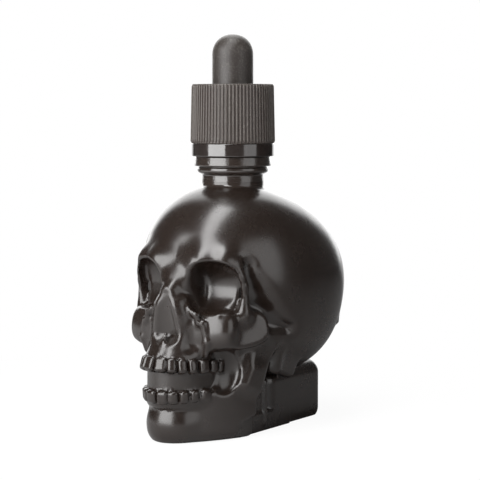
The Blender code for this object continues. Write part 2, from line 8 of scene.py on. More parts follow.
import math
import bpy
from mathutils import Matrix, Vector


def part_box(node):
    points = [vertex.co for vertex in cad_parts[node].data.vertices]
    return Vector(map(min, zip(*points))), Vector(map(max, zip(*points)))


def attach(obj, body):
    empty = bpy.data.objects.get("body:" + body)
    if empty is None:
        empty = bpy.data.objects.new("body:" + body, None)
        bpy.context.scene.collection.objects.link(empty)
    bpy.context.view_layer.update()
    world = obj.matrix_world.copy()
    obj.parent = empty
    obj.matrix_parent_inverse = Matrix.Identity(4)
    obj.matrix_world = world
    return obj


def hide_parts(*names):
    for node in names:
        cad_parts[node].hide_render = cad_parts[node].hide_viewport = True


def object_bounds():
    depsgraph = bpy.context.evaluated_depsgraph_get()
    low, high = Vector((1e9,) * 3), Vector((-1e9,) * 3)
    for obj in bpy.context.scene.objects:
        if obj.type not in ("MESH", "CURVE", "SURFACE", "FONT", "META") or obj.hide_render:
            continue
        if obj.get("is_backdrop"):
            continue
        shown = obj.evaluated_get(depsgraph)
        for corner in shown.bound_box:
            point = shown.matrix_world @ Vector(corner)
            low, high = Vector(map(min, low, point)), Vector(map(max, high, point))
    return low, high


bl_info = {
    "name": "Skull dropper bottle",
    "version": (1, 0, 0),
    "blender": (4, 5, 0),
    "location": "3D View > Sidebar > Skull Bottle",
    "description": "Makes the pieces, the finishes and the stage of a skull dropper bottle",
    "category": "Object",
}

from typing import Callable, NamedTuple, Sequence

import bmesh
import bpy
import numpy as np
import openvdb
from bpy.props import FloatProperty, FloatVectorProperty, IntProperty, PointerProperty
from mathutils import Vector

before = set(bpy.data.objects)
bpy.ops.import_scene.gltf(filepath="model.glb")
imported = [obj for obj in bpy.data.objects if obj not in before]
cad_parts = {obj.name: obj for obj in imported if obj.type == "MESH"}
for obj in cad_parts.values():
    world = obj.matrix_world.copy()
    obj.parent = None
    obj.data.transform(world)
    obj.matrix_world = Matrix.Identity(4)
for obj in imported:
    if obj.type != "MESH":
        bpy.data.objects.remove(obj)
CAD_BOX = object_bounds()
MM = 0.001

BAND_LOW, BAND_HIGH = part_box("tamper_band")
COLLAR_LOW, COLLAR_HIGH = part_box("screw_collar")
BULB_LOW, BULB_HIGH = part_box("rubber_bulb")
PIPETTE_LOW, PIPETTE_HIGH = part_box("glass_pipette")
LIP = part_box("skull_bottle")[1].z


def number(name, default, description, **options):
    """A number that the user can change."""
    return FloatProperty(name=name, default=default, description=description, **options)


def length(name, default, description):
    return number(name, default, description, min=0.0, unit="LENGTH", precision=5)


def fraction(name, default, description):
    return number(name, default, description, min=0.0, max=1.0, subtype="FACTOR")


def degrees(name, default, description):
    return number(name, math.radians(default), description, unit="ROTATION")


def colour(name, default, description):
    options = {"size": 3, "min": 0.0, "max": 1.0, "subtype": "COLOR"}
    return FloatVectorProperty(name=name, default=default, description=description, **options)


class BottleSizes(bpy.types.PropertyGroup):
    """The glass bottle: how its skull is meshed, and its neck."""

    cell: length("Mesh cell", 0.0005, "Spacing of the grid that the skull is meshed on")
    wall: length("Glass wall", 0.0030, "Thickness of the glass")
    inside_share: fraction("Inside detail", 0.22, "Share of the faces that the inner wall keeps")
    neck_radius: length("Neck radius", 0.00835, "Radius of the neck above the skull")
    neck_top: length("Neck top", 0.0685, "Height at which the rings start")
    low_ring: length("Low ring radius", 0.00957, "Radius of the rounded ring")
    high_ring: length("High ring radius", 0.0105, "Radius of the ring under the band")
    ring_middle: length("Ring joint", 0.0710, "Height at which the two rings meet")
    finish_base: length("Finish base", 0.0735, "Height at which the threaded part starts")
    finish_radius: length("Finish radius", 0.00795, "Radius of the threaded part")
    bead_radius: length("Bead radius", 0.0095, "Radius of the bead that holds the band")
    bore_radius: length("Bore radius", 0.00575, "Radius of the hole in the neck")


class CapSizes(bpy.types.PropertyGroup):
    """The ribbed cap, its band and the threads."""

    rib_count: IntProperty(name="Ribs", description="Ribs around the cap", default=72, min=3)
    rib_depth: length("Rib depth", 0.00035, "How far a rib stands out")
    rib_width: length("Rib width", 0.00060, "Width of a rib at its foot")
    top_radius: length("Top radius", 0.01115, "Radius of the cap at its top, over the ribs")
    web: length("Web", 0.0012, "Thickness of the cap's top")
    pitch: length("Thread pitch", 0.0030, "Rise of the thread in one turn")
    turns: number("Thread turns", 1.5, "Length of each thread in turns", min=0.5)
    thread_depth: length("Thread depth", 0.0009, "How far the thread stands out")
    clearance: length("Clearance", 0.0003, "Room between pieces that move past each other")
    band_wall: length("Band wall", 0.0008, "Thickness of the tamper band")
    closing: length("Gap filling", 0.00013, "How far the band, cap and ring reach into their gaps")
    stub_count: IntProperty(name="Stubs", description="Snapped bridges on the band", default=12, min=3)


class DropperSizes(bpy.types.PropertyGroup):
    """The rubber bulb and the glass pipette."""

    bulb_radius: length("Bulb radius", 0.00555, "Radius of the bulb")
    bulb_wall: length("Bulb wall", 0.0011, "Thickness of the rubber")
    flange: length("Flange", 0.0013, "Thickness of the flange that the cap clamps")
    plug: length("Plug", 0.0030, "Length of the part of the bulb in the neck")
    fullness: number("Dome fullness", 2.15, "2 is round, and more is fuller", min=1.0)
    pipette_wall: length("Pipette wall", 0.0010, "Thickness of the pipette's glass")
    tip_radius: length("Tip radius", 0.0015, "Radius of the pipette's tip")
    tip_hole: length("Tip hole", 0.0007, "Radius of the hole in the tip")
    taper: length("Taper", 0.0120, "Length over which the pipette narrows")


class Finishes(bpy.types.PropertyGroup):
    """Colours and gloss of the surfaces."""

    coat: colour("Coat", (0.0088, 0.0052, 0.0038), "Satin coat over the skull")
    coat_roughness: fraction("Coat roughness", 0.26, "Roughness of the satin coat")
    bare: colour("Bare black", (0.016, 0.0110, 0.0088), "Glossy black of the bare neck")
    bare_roughness: fraction("Bare roughness", 0.16, "Roughness of the bare neck")
    band: colour("Band", (0.0100, 0.0066, 0.0056), "Glossy plastic of the band")
    cap: colour("Cap", (0.0260, 0.0185, 0.0155), "Satin plastic of the cap")
    rubber: colour("Rubber", (0.0095, 0.0056, 0.0046), "Rubber of the bulb")
    clear: colour("Clear glass", (0.96, 0.98, 0.98), "Glass of the pipette")


class StageSettings(bpy.types.PropertyGroup):
    """The camera, the lamps and the floor."""

    azimuth: degrees("Camera azimuth", 34.0, "How far round from the face the camera stands")
    distance: length("Camera distance", 0.470, "Distance from the bottle's axis")
    height: length("Camera height", 0.0888, "Height of the camera")
    lens: number("Lens", 129.53, "Focal length in millimetres", min=10)
    pitch: degrees("Camera pitch", 4.634, "How far the camera looks down")
    yaw: degrees("Camera yaw", 0.239, "How far the camera looks past the axis")
    key: number("Key lamp", 14.0, "Power of the large left lamp", unit="POWER")
    fill: number("Fill lamp", 2.0, "Power of the right lamp", unit="POWER")
    top: number("Top lamp", 8.4, "Power of the lamp above", unit="POWER")
    room: fraction("Room light", 0.10, "Level of the soft light from all round")
    backdrop: number("Backdrop", 2.7, "Level of the white that the bottle mirrors")
    shadow: fraction("Shadow", 0.06, "How much of the floor's shadow the camera sees")


# The field, in millimetres: a shape is worked out as far as NEAR from it, and FAR stands beyond
NEAR, FAR, TINY = 3.0, 9.0, 1e-6
BALL_REACH = 1.3
GRID_MARGIN, BAND_MARGIN = 4, 3
PROBE, SETTLE_ROUNDS, SETTLE_CELLS, FLATTEST = 0.02, 3, 0.4, 0.05


class Shape(NamedTuple):
    """A solid as its distance function, with the box that it fills."""

    low: Sequence
    high: Sequence
    distance: Callable


class Step(NamedTuple):
    """One move of the sculptor: a shape added or cut, and how softly."""

    rule: Callable
    shape: Shape
    soft: float


def turned(x, y, z, turn):
    """A point seen from a shape that is turned by these degrees about X, then Y, then Z."""
    c, s = math.cos(math.radians(turn[2])), math.sin(math.radians(turn[2]))
    x, y = c * x + s * y, c * y - s * x
    c, s = math.cos(math.radians(turn[1])), math.sin(math.radians(turn[1]))
    z, x = c * z + s * x, c * x - s * z
    c, s = math.cos(math.radians(turn[0])), math.sin(math.radians(turn[0]))
    return x, c * y + s * z, c * z - s * y


def rounded(shares, radii, square):
    """The distance to a rounded form from each axis' share of its radius."""
    shares = [abs(share) + TINY for share in shares]
    level = sum(share**square for share in shares) ** (1 / square)
    slope = sum(((share / level) ** (square - 1) / radius) ** 2 for share, radius in zip(shares, radii))
    return (level - 1) / np.sqrt(slope)


def ball(at, radii, turn=(0, 0, 0), square=2.0):
    """An egg-like ball. A higher square flattens its sides."""
    reach = BALL_REACH * max(radii)

    def distance(x, y, z):
        x, y, z = turned(x - at[0], y - at[1], z - at[2], turn)
        return rounded((x / radii[0], y / radii[1], z / radii[2]), radii, square)

    return Shape([c - reach for c in at], [c + reach for c in at], distance)


def rod(start, end, radius, end_radius=None):
    """A bar with round ends."""
    start, end = np.array(start, float), np.array(end, float)
    along = end - start
    widening = 0 if end_radius is None else end_radius - radius

    def distance(x, y, z):
        x, y, z = x - start[0], y - start[1], z - start[2]
        share = np.clip((x * along[0] + y * along[1] + z * along[2]) / (along @ along), 0, 1)
        gap = (x - share * along[0]) ** 2 + (y - share * along[1]) ** 2 + (z - share * along[2]) ** 2
        return np.sqrt(gap) - radius - share * widening

    reach = radius + max(widening, 0)
    return Shape(np.minimum(start, end) - reach, np.maximum(start, end) + reach, distance)


def box(at, half, edge, turn=(0, 0, 0)):
    """A box with round edges."""
    reach = [math.hypot(*half)] * 3 if any(turn) else half

    def distance(x, y, z):
        place = turned(x - at[0], y - at[1], z - at[2], turn)
        out = [abs(c) - h + edge for c, h in zip(place, half)]
        outside = np.sqrt(sum(np.maximum(c, 0) ** 2 for c in out))
        return outside + np.minimum(np.maximum(np.maximum(out[0], out[1]), out[2]), 0) - edge

    return Shape(np.subtract(at, reach), np.add(at, reach), distance)


def column(low, high, edge, square=2.0):
    """An upright oval column. Each end is its height, its y, its half width and its half length."""
    middle, half = (low[0] + high[0]) / 2, (high[0] - low[0]) / 2

    def distance(x, y, z):
        share = np.clip((z - low[0]) / (high[0] - low[0]), 0, 1)
        y0, wide, long = (a + share * (b - a) for a, b in zip(low[1:], high[1:]))
        side = rounded((x / wide, (y - y0) / long), (wide, long), square) + edge
        cap = abs(z - middle) - half + edge
        outside = np.sqrt(np.maximum(side, 0) ** 2 + np.maximum(cap, 0) ** 2)
        return outside + np.minimum(np.maximum(side, cap), 0) - edge

    wide = max(low[2], high[2])
    front = min(low[1] - low[3], high[1] - high[3])
    rear = max(low[1] + low[3], high[1] + high[3])
    return Shape((-wide, front, low[0]), (wide, rear, high[0]), distance)


def merge(a, b, soft):
    """Two fields joined, with a fillet where soft is over 0."""
    blend = np.maximum(soft - abs(a - b), 0) / max(soft, TINY)
    return np.minimum(a, b) - blend * blend * soft / 4


def carve(a, b, soft):
    """The second field cut out of the first, with a rounded edge where soft is over 0."""
    return -merge(-a, b, soft)


def add(shape, soft=0.0):
    return Step(merge, shape, soft)


def cut(shape, soft=0.0):
    return Step(carve, shape, soft)


def joined(shapes, soft):
    """Several shapes as one."""

    def distance(x, y, z):
        total = shapes[0].distance(x, y, z)
        for shape in shapes[1:]:
            total = merge(total, shape.distance(x, y, z), soft)
        return total

    low = np.min([shape.low for shape in shapes], axis=0)
    high = np.max([shape.high for shape in shapes], axis=0)
    return Shape(low, high, distance)


def common(first, second, soft):
    """What two shapes share."""

    def distance(x, y, z):
        return -merge(-first.distance(x, y, z), -second.distance(x, y, z), soft)

    low = np.maximum(first.low, second.low)
    return Shape(low, np.minimum(first.high, second.high), distance)


# The skull, in millimetres: x to its left, y to its back, z up from the table
BRAINCASE_AT, BRAINCASE = (0, 6.2, 38.8), (25.4, 28.7, 25.3)
CROWN_AT, CROWN = (0, 10.3, 39.0), (19.0, 30.0, 14.6)
FOREHEAD_AT, FOREHEAD = (0, -7.2, 45.0), (18.0, 18.6, 19.2)
BLOCK_AT, BLOCK = (0, 12.1, 7.3), (13.0, 14.5, 8.7)
CORE_AT, CORE = (0, -1.0, 12.3), (10.0, 16.5, 12.3)
JAW_WIDTH, JAW_LENGTH, JAW_Y = 16.0, 26.0, -9.0
MOUTH_Y, MOUTH_Z, MOUTH_RADIUS = -28.6, 19.3, 7.6
ARCH_WIDTH, ARCH_LENGTH = 9.6, 15.8
TOOTH_ALONG = (1.55, 4.35, 7.1, 10.0, 13.6, 17.1, 19.9)
TOOTH_WIDTHS = (2.9, 2.3, 2.3, 2.2, 2.8, 2.4, 2.0)
TOOTH_THICKNESS, TOOTH_OVERLAP = 1.5, 0.03
ROW_WIDTH_SHARE, ROW_LENGTH_SHARE = 0.95, 0.965
EYE_BORES = ((10.4, 42.1, 5.7), (12.4, 37.3, 3.3), (8.9, 37.6, 3.5))
EYE_FRONT, EYE_REAR, EYE_DEPTH = -36, -8, 7.0
NECK_FILLET = 0.9
BELOW = -0.4
THROUGH = 30.0


def cranium():
    yield add(ball(BRAINCASE_AT, BRAINCASE, turn=(-18, 0, 0), square=2.25))
    yield add(ball(CROWN_AT, CROWN), 4)
    yield add(ball(FOREHEAD_AT, FOREHEAD, square=2.08), 8)


def jaw():
    """A pointed arch in plan. A round cut opens the mouth, and leaves a lip at its rear."""
    foot = (BELOW, JAW_Y, JAW_WIDTH, JAW_LENGTH)
    top = (27, JAW_Y + 1, JAW_WIDTH + 0.4, JAW_LENGTH - 2.4)
    arch = column(foot, top, edge=3.2, square=1.5)
    front = box((0, -22.1, 12), (THROUGH, 11.5, 20), edge=1.5)
    yield add(common(arch, front, 2.5), 1)
    yield add(box((15.6, -11.4, 20.0), (1.8, 3.6, 8.0), turn=(-20, 8, -6), edge=1.6), 3)
    round_end = rod((0, MOUTH_Y, MOUTH_Z), (THROUGH, MOUTH_Y, MOUTH_Z), MOUTH_RADIUS)
    mouth = joined([round_end, box((0, -42, MOUTH_Z), (THROUGH, 13, 7.9), edge=3)], 1)
    yield cut(mouth, 0.6)
    yield cut(ball((11.9, -21.6, 18.4), (2.4, 5.0, 6.2), turn=(0, 0, -22)), 0.6)
    yield cut(ball((18.3, -17.4, 20.5), (1.4, 1.7, 6.0), turn=(-14, 8, -12)), 1.5)
    yield cut(ball((19.4, -13.0, 22.4), (2.6, 4.2, 3.8), turn=(-20, 0, -8)), 2)
    yield cut(ball((0, -37.4, 11.0), (8, 4.2, 3.4)), 2.5)
    yield add(ball((0, -28.6, 4.8), (6.4, 4.9, 4.6)), 3)


def temples():
    """The hollow behind the bar beside each eye. It narrows upwards, and runs on to the ear."""
    path = [(16.2, -18.0, 45), (17.2, -16.9, 38.5), (18.4, -15.2, 33.6)]
    path += [(19.6, -12.0, 30.9), (20.8, -5, 28.6)]
    radii = (0.6, 1.8, 3.0, 2.0, 0.4)
    hollow = [rod(path[i], path[i + 1], radii[i], radii[i + 1]) for i in range(4)]
    yield cut(joined(hollow, 3), 4.5)


def brow():
    """The ridge over the eyes, from the root of the nose round to the bar beside each eye."""
    yield add(ball((0, -18.4, 45.8), (11, 5, 4.5)), 4)
    ridge = [
        rod((0, -23.2, 44.4), (6.5, -24.2, 46.2), 2.4, 2.7),
        rod((6.5, -24.2, 46.2), (12.0, -22.0, 46.4), 2.7, 2.0),
        rod((12.0, -22.0, 46.4), (15.8, -19.4, 42.6), 2.0, 1.2),
    ]
    yield add(joined(ridge, 2), 5)


def muzzle():
    yield add(column((21.2, -20.4, 9.6, 15.2), (31, -17.6, 8, 12.6), edge=1.8, square=2.1), 1)
    yield add(column((27, -17.4, 8, 12.2), (40, -14, 6, 10.5), edge=2), 4)


def cheek():
    """The bar beside the eye, the rim below it, and the cheekbone with its two crests."""
    yield add(rod((14.6, -20.2, 46.2), (16.2, -19.1, 40.5), 1.3, 1.2), 1.5)
    yield add(rod((16.2, -19.1, 40.5), (16.3, -18.9, 33), 1.2, 1.6), 1)
    yield add(box((6.2, -25.2, 27.5), (3.4, 3.0, 5.0), turn=(0, 0, 33), edge=2), 1.5)
    yield add(ball((10.9, -24.0, 29.6), (5.4, 3.1, 5.6), turn=(-8, 0, 14), square=2.2), 2)
    yield add(rod((6.4, -28.9, 36.2), (8.6, -27.9, 34.6), 0.7, 0.6), 1.6)
    yield add(rod((8.6, -27.9, 34.6), (12.5, -25.6, 34.4), 0.6, 0.5), 1.6)
    yield add(rod((6.4, -28.9, 36.2), (8.3, -28.2, 31.4), 0.7, 0.5), 1.6)
    yield add(rod((9.4, -27.6, 31.4), (10.3, -27.1, 26.4), 0.6, 0.6), 1)
    yield add(rod((10.3, -27.1, 26.4), (9.6, -26.7, 22.8), 0.6, 0.4), 1.2)
    side = ball((16.1, -18.0, 29.1), (6, 6.6, 4.6), turn=(9, 0, -20), square=2.6)
    yield add(common(side, box((15.4, -18.2, 29), (1.9, 9, 7), turn=(0, -6, -28), edge=1.2), 1.2), 2.5)
    yield add(rod((17.2, -12, 27.4), (19.4, -1, 26.4), 0.8, 0.6), 2)


def nose():
    """The nasal bones, the open scoop below their tip with its rim, and the crests beside them."""
    hull = [
        rod((0, -22.8, 46), (0, -28.6, 39.2), 1.7, 2.6),
        rod((0, -28.4, 39.0), (0, -26.9, 35.0), 2.7, 5.4),
        rod((0, -26.9, 35.0), (0, -25.6, 31.5), 5.4, 6.4),
        rod((0, -25.6, 31.5), (0, -26.2, 25.0), 6.4, 6.4),
    ]
    yield add(ball((0, -22.5, 41.5), (6.2, 6.8, 6.0)), 1.5)
    yield add(joined(hull, 1), 1.2)
    yield add(rod((5.6, -28.2, 38), (6.8, -28.4, 34.0), 0.9, 0.8), 1.2)
    yield cut(rod((6.8, -30.3, 33.0), (7.9, -30.6, 26.0), 0.9, 2.3), 1.2)
    scoop = rod((0, -33.3, 38.9), (0, -35.4, 29.4), 2.2, 6.0)
    yield cut(common(scoop, box((0, -32, 33.6), (9, 6, 7.8), edge=0.8), 2.4), 0.9)
    yield add(rod((0, -31.0, 28.3), (0, -34.0, 23.4), 0.5, 0.5), 1.2)


def eyes():
    """Each socket: three round bores for its outline, and a drum across the face for its floor."""
    bores = [rod((x, EYE_FRONT, z), (x, EYE_REAR, z), radius) for x, z, radius in EYE_BORES]
    outline = joined(bores, 3)
    drum = rod((4.6, -26.8, 40.4), (THROUGH, -23.8, 40.4), EYE_DEPTH)
    yield cut(common(outline, drum, 1.6), 1.1)


def gums():
    yield add(column((9, -19.5, 9.3, 15.0), (24, -19.7, 9.1, 14.6), edge=1.5, square=2.1), 0.6)
    yield add(column((9.6, -19.0, 9.0, 14.2), (12.6, -19.2, 9.5, 14.9), edge=1.4, square=2.1), 2.0)


def place_on_arch(distance):
    """Where a point lies on the dental arch this far from its front, and which way it faces."""
    angle, step = 0.0, 0.002
    while distance > 0:
        distance -= step * math.hypot(ARCH_WIDTH * math.cos(angle), ARCH_LENGTH * math.sin(angle))
        angle += step
    x, y = ARCH_WIDTH * math.sin(angle), -ARCH_LENGTH * math.cos(angle)
    facing = math.degrees(math.atan2(x / ARCH_WIDTH**2, -y / ARCH_LENGTH**2))
    return x, y, facing


def tooth_row(y0, front, rear, lean, count):
    """Half a row of teeth. front and rear give the height and half height at the row's ends."""
    for along, width in zip(TOOTH_ALONG[:count], TOOTH_WIDTHS):
        x, y, facing = place_on_arch(along)
        share = along / TOOTH_ALONG[-1]
        height, half = (a + share * (b - a) for a, b in zip(front, rear))
        size = (width / 2 + TOOTH_OVERLAP, TOOTH_THICKNESS, half)
        at = (x * ROW_WIDTH_SHARE, y * ROW_LENGTH_SHARE + y0, height)
        tooth = box(at, size, turn=(-lean * (1 - share), 0, facing), edge=0.75)
        yield add(tooth, 0.25)


def teeth():
    yield from tooth_row(-20.0, (21.0, 2.0), (19.5, 1.7), 22, 7)
    yield from tooth_row(-19.2, (12.4, 1.8), (12.6, 1.4), -6, 6)


def ear():
    """The wedge of bone behind the ear, and the ridge round the back of the head."""
    yield add(rod((17.4, -3.6, 25), (16.6, -3.8, 17.4), 1.2, 0.9), 1.5)
    yield add(box((15.3, 1.2, 21.6), (2.6, 6.6, 7.0), turn=(-16, 9, 0), edge=2.0), 1.6)
    ridge = column((26.6, 7.6, 24.3, 27.8), (36, 7.6, 24.3, 27.8), edge=0.8)
    yield add(common(ridge, box((0, 36, 30), (21, 17, 9), edge=4), 2), 0.8)


def base():
    """The block behind the jaw, the slab between them, and the core that joins them inside."""
    yield add(box(BLOCK_AT, (BLOCK[0], BLOCK[1], BLOCK[2] - BELOW / 2), edge=4.0), 0.5)
    yield cut(box((18.2, -6.6, 2.8), (4.4, 11, 4.0), turn=(14, 0, 0), edge=0.6), 0.8)
    yield add(box((0, -3.5, 2.5), (BLOCK[0] - 0.05, 13, 2.5 - BELOW), edge=0.8), 0.2)
    yield add(box((0, -6.5, 8.2), (12.7, 3.8, 6.5), edge=1), 1.0)
    yield add(rod((12.6, -3.9, 2), (12.6, -3.9, 13.2), 1.0), 0.3)
    yield add(box(CORE_AT, (CORE[0], CORE[1], CORE[2] - BELOW), edge=2), 1)


def neck(radius, top):
    foot = BRAINCASE_AT[2]
    yield add(column((foot, 0, radius, radius), (top, 0, radius, radius), edge=0.3), NECK_FILLET)


def table():
    """Cuts off what is below the table."""
    yield cut(box((0, 0, -20), (60, 60, 20), edge=0.1), 0.3)


def skull_steps(neck_radius, neck_top):
    for bones in (cranium, jaw, brow, temples, muzzle, cheek, nose, eyes, gums, teeth, ear, base):
        yield from bones()
    yield from neck(neck_radius, neck_top)
    yield from table()


def field_of(steps, cell):
    """The steps' field on a grid over x from 0 up, and the grid's corner. Below 0 is inside."""
    added = [step.shape for step in steps if step.rule is merge]
    low = np.min([shape.low for shape in added], axis=0) - GRID_MARGIN * cell
    high = np.max([shape.high for shape in added], axis=0) + GRID_MARGIN * cell
    low[0] = 0.0
    counts = [math.ceil((b - a) / cell) + 1 for a, b in zip(low, high)]
    axes = [a + cell * np.arange(n) for a, n in zip(low, counts)]
    field = np.full(counts, FAR, np.float32)
    for rule, shape, soft in steps:
        margin = soft + BAND_MARGIN * cell + NEAR
        cells = tuple(
            slice(np.searchsorted(axis, a - margin), np.searchsorted(axis, b + margin))
            for axis, a, b in zip(axes, shape.low, shape.high)
        )
        if all(part.start < part.stop for part in cells):
            x, y, z = np.ix_(*(axis[part] for axis, part in zip(axes, cells)))
            field[cells] = rule(field[cells], shape.distance(x, y, z), soft)
    return field, low


def field_at(steps, points):
    """The steps' field at loose points of both halves."""
    points = points * [1, 1, 1]
    points[:, 0] = abs(points[:, 0])
    field = np.full(len(points), FAR)
    for rule, shape, soft in steps:
        margin = soft + NEAR
        inside = (points > np.asarray(shape.low) - margin) & (points < np.asarray(shape.high) + margin)
        near = np.all(inside, axis=1)
        if near.any():
            x, y, z = points[near].T
            field[near] = rule(field[near], shape.distance(x, y, z), soft)
    return field


def settled(steps, points, most):
    """The points moved on to the field's surface, at most this far along each axis in a round."""
    for _ in range(SETTLE_ROUNDS):
        ways = PROBE * np.eye(3)
        rises = [field_at(steps, points + way) - field_at(steps, points - way) for way in ways]
        slope = np.stack(rises, axis=1) / (2 * PROBE)
        steep = np.maximum((slope**2).sum(axis=1), FLATTEST)
        points = points - np.clip(field_at(steps, points) / steep, -most, most)[:, None] * slope
    return points


def glass_mesh(steps, cell, wall, bore, foot):
    """The steps' surface, with an inner wall and a hole above foot. It also gives each point's side.

    Lengths are in millimetres. Side is True for a point of the outer surface.
    """
    half, corner = field_of(steps, cell)
    field = np.concatenate([half[:0:-1], half])
    corner[0] = -cell * (half.shape[0] - 1)
    x, y, z = np.ix_(*(corner[i] + cell * np.arange(n) for i, n in enumerate(field.shape)))
    hole = np.maximum(np.hypot(x, y) - bore, foot - z)
    grid = openvdb.FloatGrid(FAR)
    grid.copyFromArray(np.maximum(field, -np.minimum(field + wall, hole)).astype(np.float32))
    points, quads = grid.convertToQuads(0.0)
    points = points * cell + corner
    outer = abs(field_at(steps, points)) < wall / 3
    points[outer] = settled(steps, points[outer], SETTLE_CELLS * cell)
    mesh = bpy.data.meshes.new("glass")
    mesh.from_pydata(points * MM, [], quads[:, ::-1])
    return mesh, outer


# Small lengths of the neck and the closure, in metres, and how finely both are meshed
SKULL_NECK_STOP, HOLE_MARGIN = 0.001, 0.0007
ROOT_INSET, ROOT_LENGTH, LAP = 0.0010, 0.0085, 0.0016
BEAD_RISE, BEAD_FLAT = 0.0019, 0.0003
THREAD_TOP, THREAD_ROD = LIP - 0.0021, 0.0006
CATCH_GRIP, CATCH_HEIGHT, CATCH_SLOPE = 0.0001, 0.0005, 0.0004
STUB_SINK, STUB_HEIGHT, STUB_WIDTH = 0.0003, 0.0005, 0.0006
RIB_RADIUS_SHARE, RIB_END_GAP = 0.6, 0.00002
SEAT_GAP = 0.0003
DOME_LAP, RIM_LENGTH, TIP_LENGTH = 0.001, 0.002, 0.0015
TURN_STEPS, PIPETTE_STEPS, FILLET_STEPS, CURVE_POINTS = 160, 96, 4, 25
RIB_POINTS, STUB_POINTS, THREAD_POINTS = 31, 5, 150
FLAT_HOLD, ROD_END_SHARE = 0.3, 0.12
SHARP_ANGLE = math.radians(38)

# The line where the coat ends, half the width of its edge, and how far it wanders, in metres
MASK_LINE, MASK_EDGE, MASK_WANDER = 0.0653, 0.00004, 0.0010
# Pale colour laid over the surfaces as dust specks, and as a painted top light that makes upward faces
# paler
DUST_AND_TOP_LIGHT = (0.24, 0.23, 0.20)
GEOMETRY, FLOAT = "NodeSocketGeometry", "NodeSocketFloat"


def linked(name, data):
    """A new object in the scene."""
    obj = bpy.data.objects.new(name, data)
    bpy.context.scene.collection.objects.link(obj)
    return obj


def applied(obj):
    """The object's mesh with its modifiers applied, as a new mesh. The object is removed."""
    graph = bpy.context.evaluated_depsgraph_get()
    graph.update()
    mesh = bpy.data.meshes.new_from_object(obj.evaluated_get(graph))
    bpy.data.objects.remove(obj)
    return mesh


def thinned(mesh, keep, share):
    """The mesh with the points that aren't kept smoothed and thinned to this share of their faces."""
    obj = linked("thinning", mesh)
    loose = np.flatnonzero(~keep)
    obj.vertex_groups.new(name="loose").add(loose.tolist(), 1.0, "REPLACE")
    smooth = obj.modifiers.new("smooth", "SMOOTH")
    smooth.vertex_group = "loose"
    smooth.iterations = 4
    thin = obj.modifiers.new("thin", "DECIMATE")
    thin.vertex_group = "loose"
    thin.ratio = 1 - (1 - share) * len(loose) / len(keep)
    return applied(obj)


def unit(vector):
    return vector / np.linalg.norm(vector)


def filleted(corners, closed=False):
    """A profile of (radius, height, fillet) corners with each fillet turned into a fine arc."""
    places = [np.array(corner[:2], float) for corner in corners]
    last = len(corners) - 1
    points = []
    for i, (here, (_, _, fillet)) in enumerate(zip(places, corners)):
        if not fillet or (not closed and i in (0, last)):
            points.append(here)
            continue
        back, ahead = unit(places[i - 1] - here), unit(places[(i + 1) % len(places)] - here)
        half = math.acos(np.clip(back @ ahead, -1, 1)) / 2
        reach = fillet / math.tan(half)
        centre = here + unit(back + ahead) * fillet / math.sin(half)
        first, final = here + back * reach - centre, here + ahead * reach - centre
        sweep = math.pi - 2 * half
        arc = [
            centre + (math.sin((1 - t) * sweep) * first + math.sin(t * sweep) * final) / math.sin(sweep)
            for t in np.linspace(0, 1, FILLET_STEPS + 1)
        ]
        hold = FLAT_HOLD * fillet
        points += [arc[0] + back * hold, *arc, arc[-1] + ahead * hold]
    return points


def turned_mesh(name, profile, closed=False, steps=TURN_STEPS):
    """A profile of (radius, height) points turned round Z, with its poles closed."""
    bm = bmesh.new()
    rings = []
    for radius, height in profile:
        if radius == 0:
            rings.append([bm.verts.new((0, 0, height))] * steps)
            continue
        turns = [math.tau * k / steps for k in range(steps)]
        rings.append([bm.verts.new((radius * math.cos(a), radius * math.sin(a), height)) for a in turns])
    pairs = list(zip(rings, rings[1:]))
    if closed:
        pairs.append((rings[-1], rings[0]))
    for below, above in pairs:
        for k in range(steps):
            j = (k + 1) % steps
            corners = list(dict.fromkeys([below[k], below[j], above[j], above[k]]))
            if len(corners) > 2:
                bm.faces.new(corners)
    bmesh.ops.recalc_face_normals(bm, faces=bm.faces)
    mesh = bpy.data.meshes.new(name)
    bm.to_mesh(mesh)
    bm.free()
    return mesh


def turned_ring(name, corners):
    """A closed section of (radius, height, fillet) corners turned round Z."""
    return turned_mesh(name, filleted(corners, closed=True), closed=True)


def painted(obj, material):
    obj.data.materials.clear()
    obj.data.materials.append(material)


def put(mesh, name, body, node, material):
    """Places a finished mesh as a piece that rides on a body and stands for a node."""
    mesh.name = name
    mesh.shade_smooth()
    mesh.set_sharp_from_angle(angle=SHARP_ANGLE)
    obj = linked(name, mesh)
    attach(obj, body)
    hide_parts(node)
    painted(obj, material)


def feed(tree, socket, value):
    """Sets an input to a value, or links another node's output to it."""
    if isinstance(value, bpy.types.NodeSocket):
        tree.links.new(value, socket)
    else:
        socket.default_value = value


def node(tree, kind, inputs=(), **settings):
    """Adds a node. Each input is a value or another node's output."""
    made = tree.nodes.new(kind)
    for name, value in settings.items():
        setattr(made, name, value)
    for name, value in dict(inputs).items():
        feed(tree, made.inputs[name], value)
    return made


def output(tree, kind, inputs=(), **settings):
    """The first output of a new node."""
    return node(tree, kind, inputs, **settings).outputs[0]


def maths(tree, operation, first, second=0.0):
    return output(tree, "ShaderNodeMath", {0: first, 1: second}, operation=operation)


def measured(tree, operation, *vectors):
    """A number from vectors, such as a length or a dot product."""
    made = node(tree, "ShaderNodeVectorMath", dict(enumerate(vectors)), operation=operation)
    return made.outputs["Value"]


def ramp(tree, value, start, end, low=0.0, high=1.0, kind="LINEAR"):
    """A value that goes from start to end, turned into one that goes from low to high."""
    values = {"Value": value, "From Min": start, "From Max": end, "To Min": low, "To Max": high}
    return output(tree, "ShaderNodeMapRange", values, interpolation_type=kind)


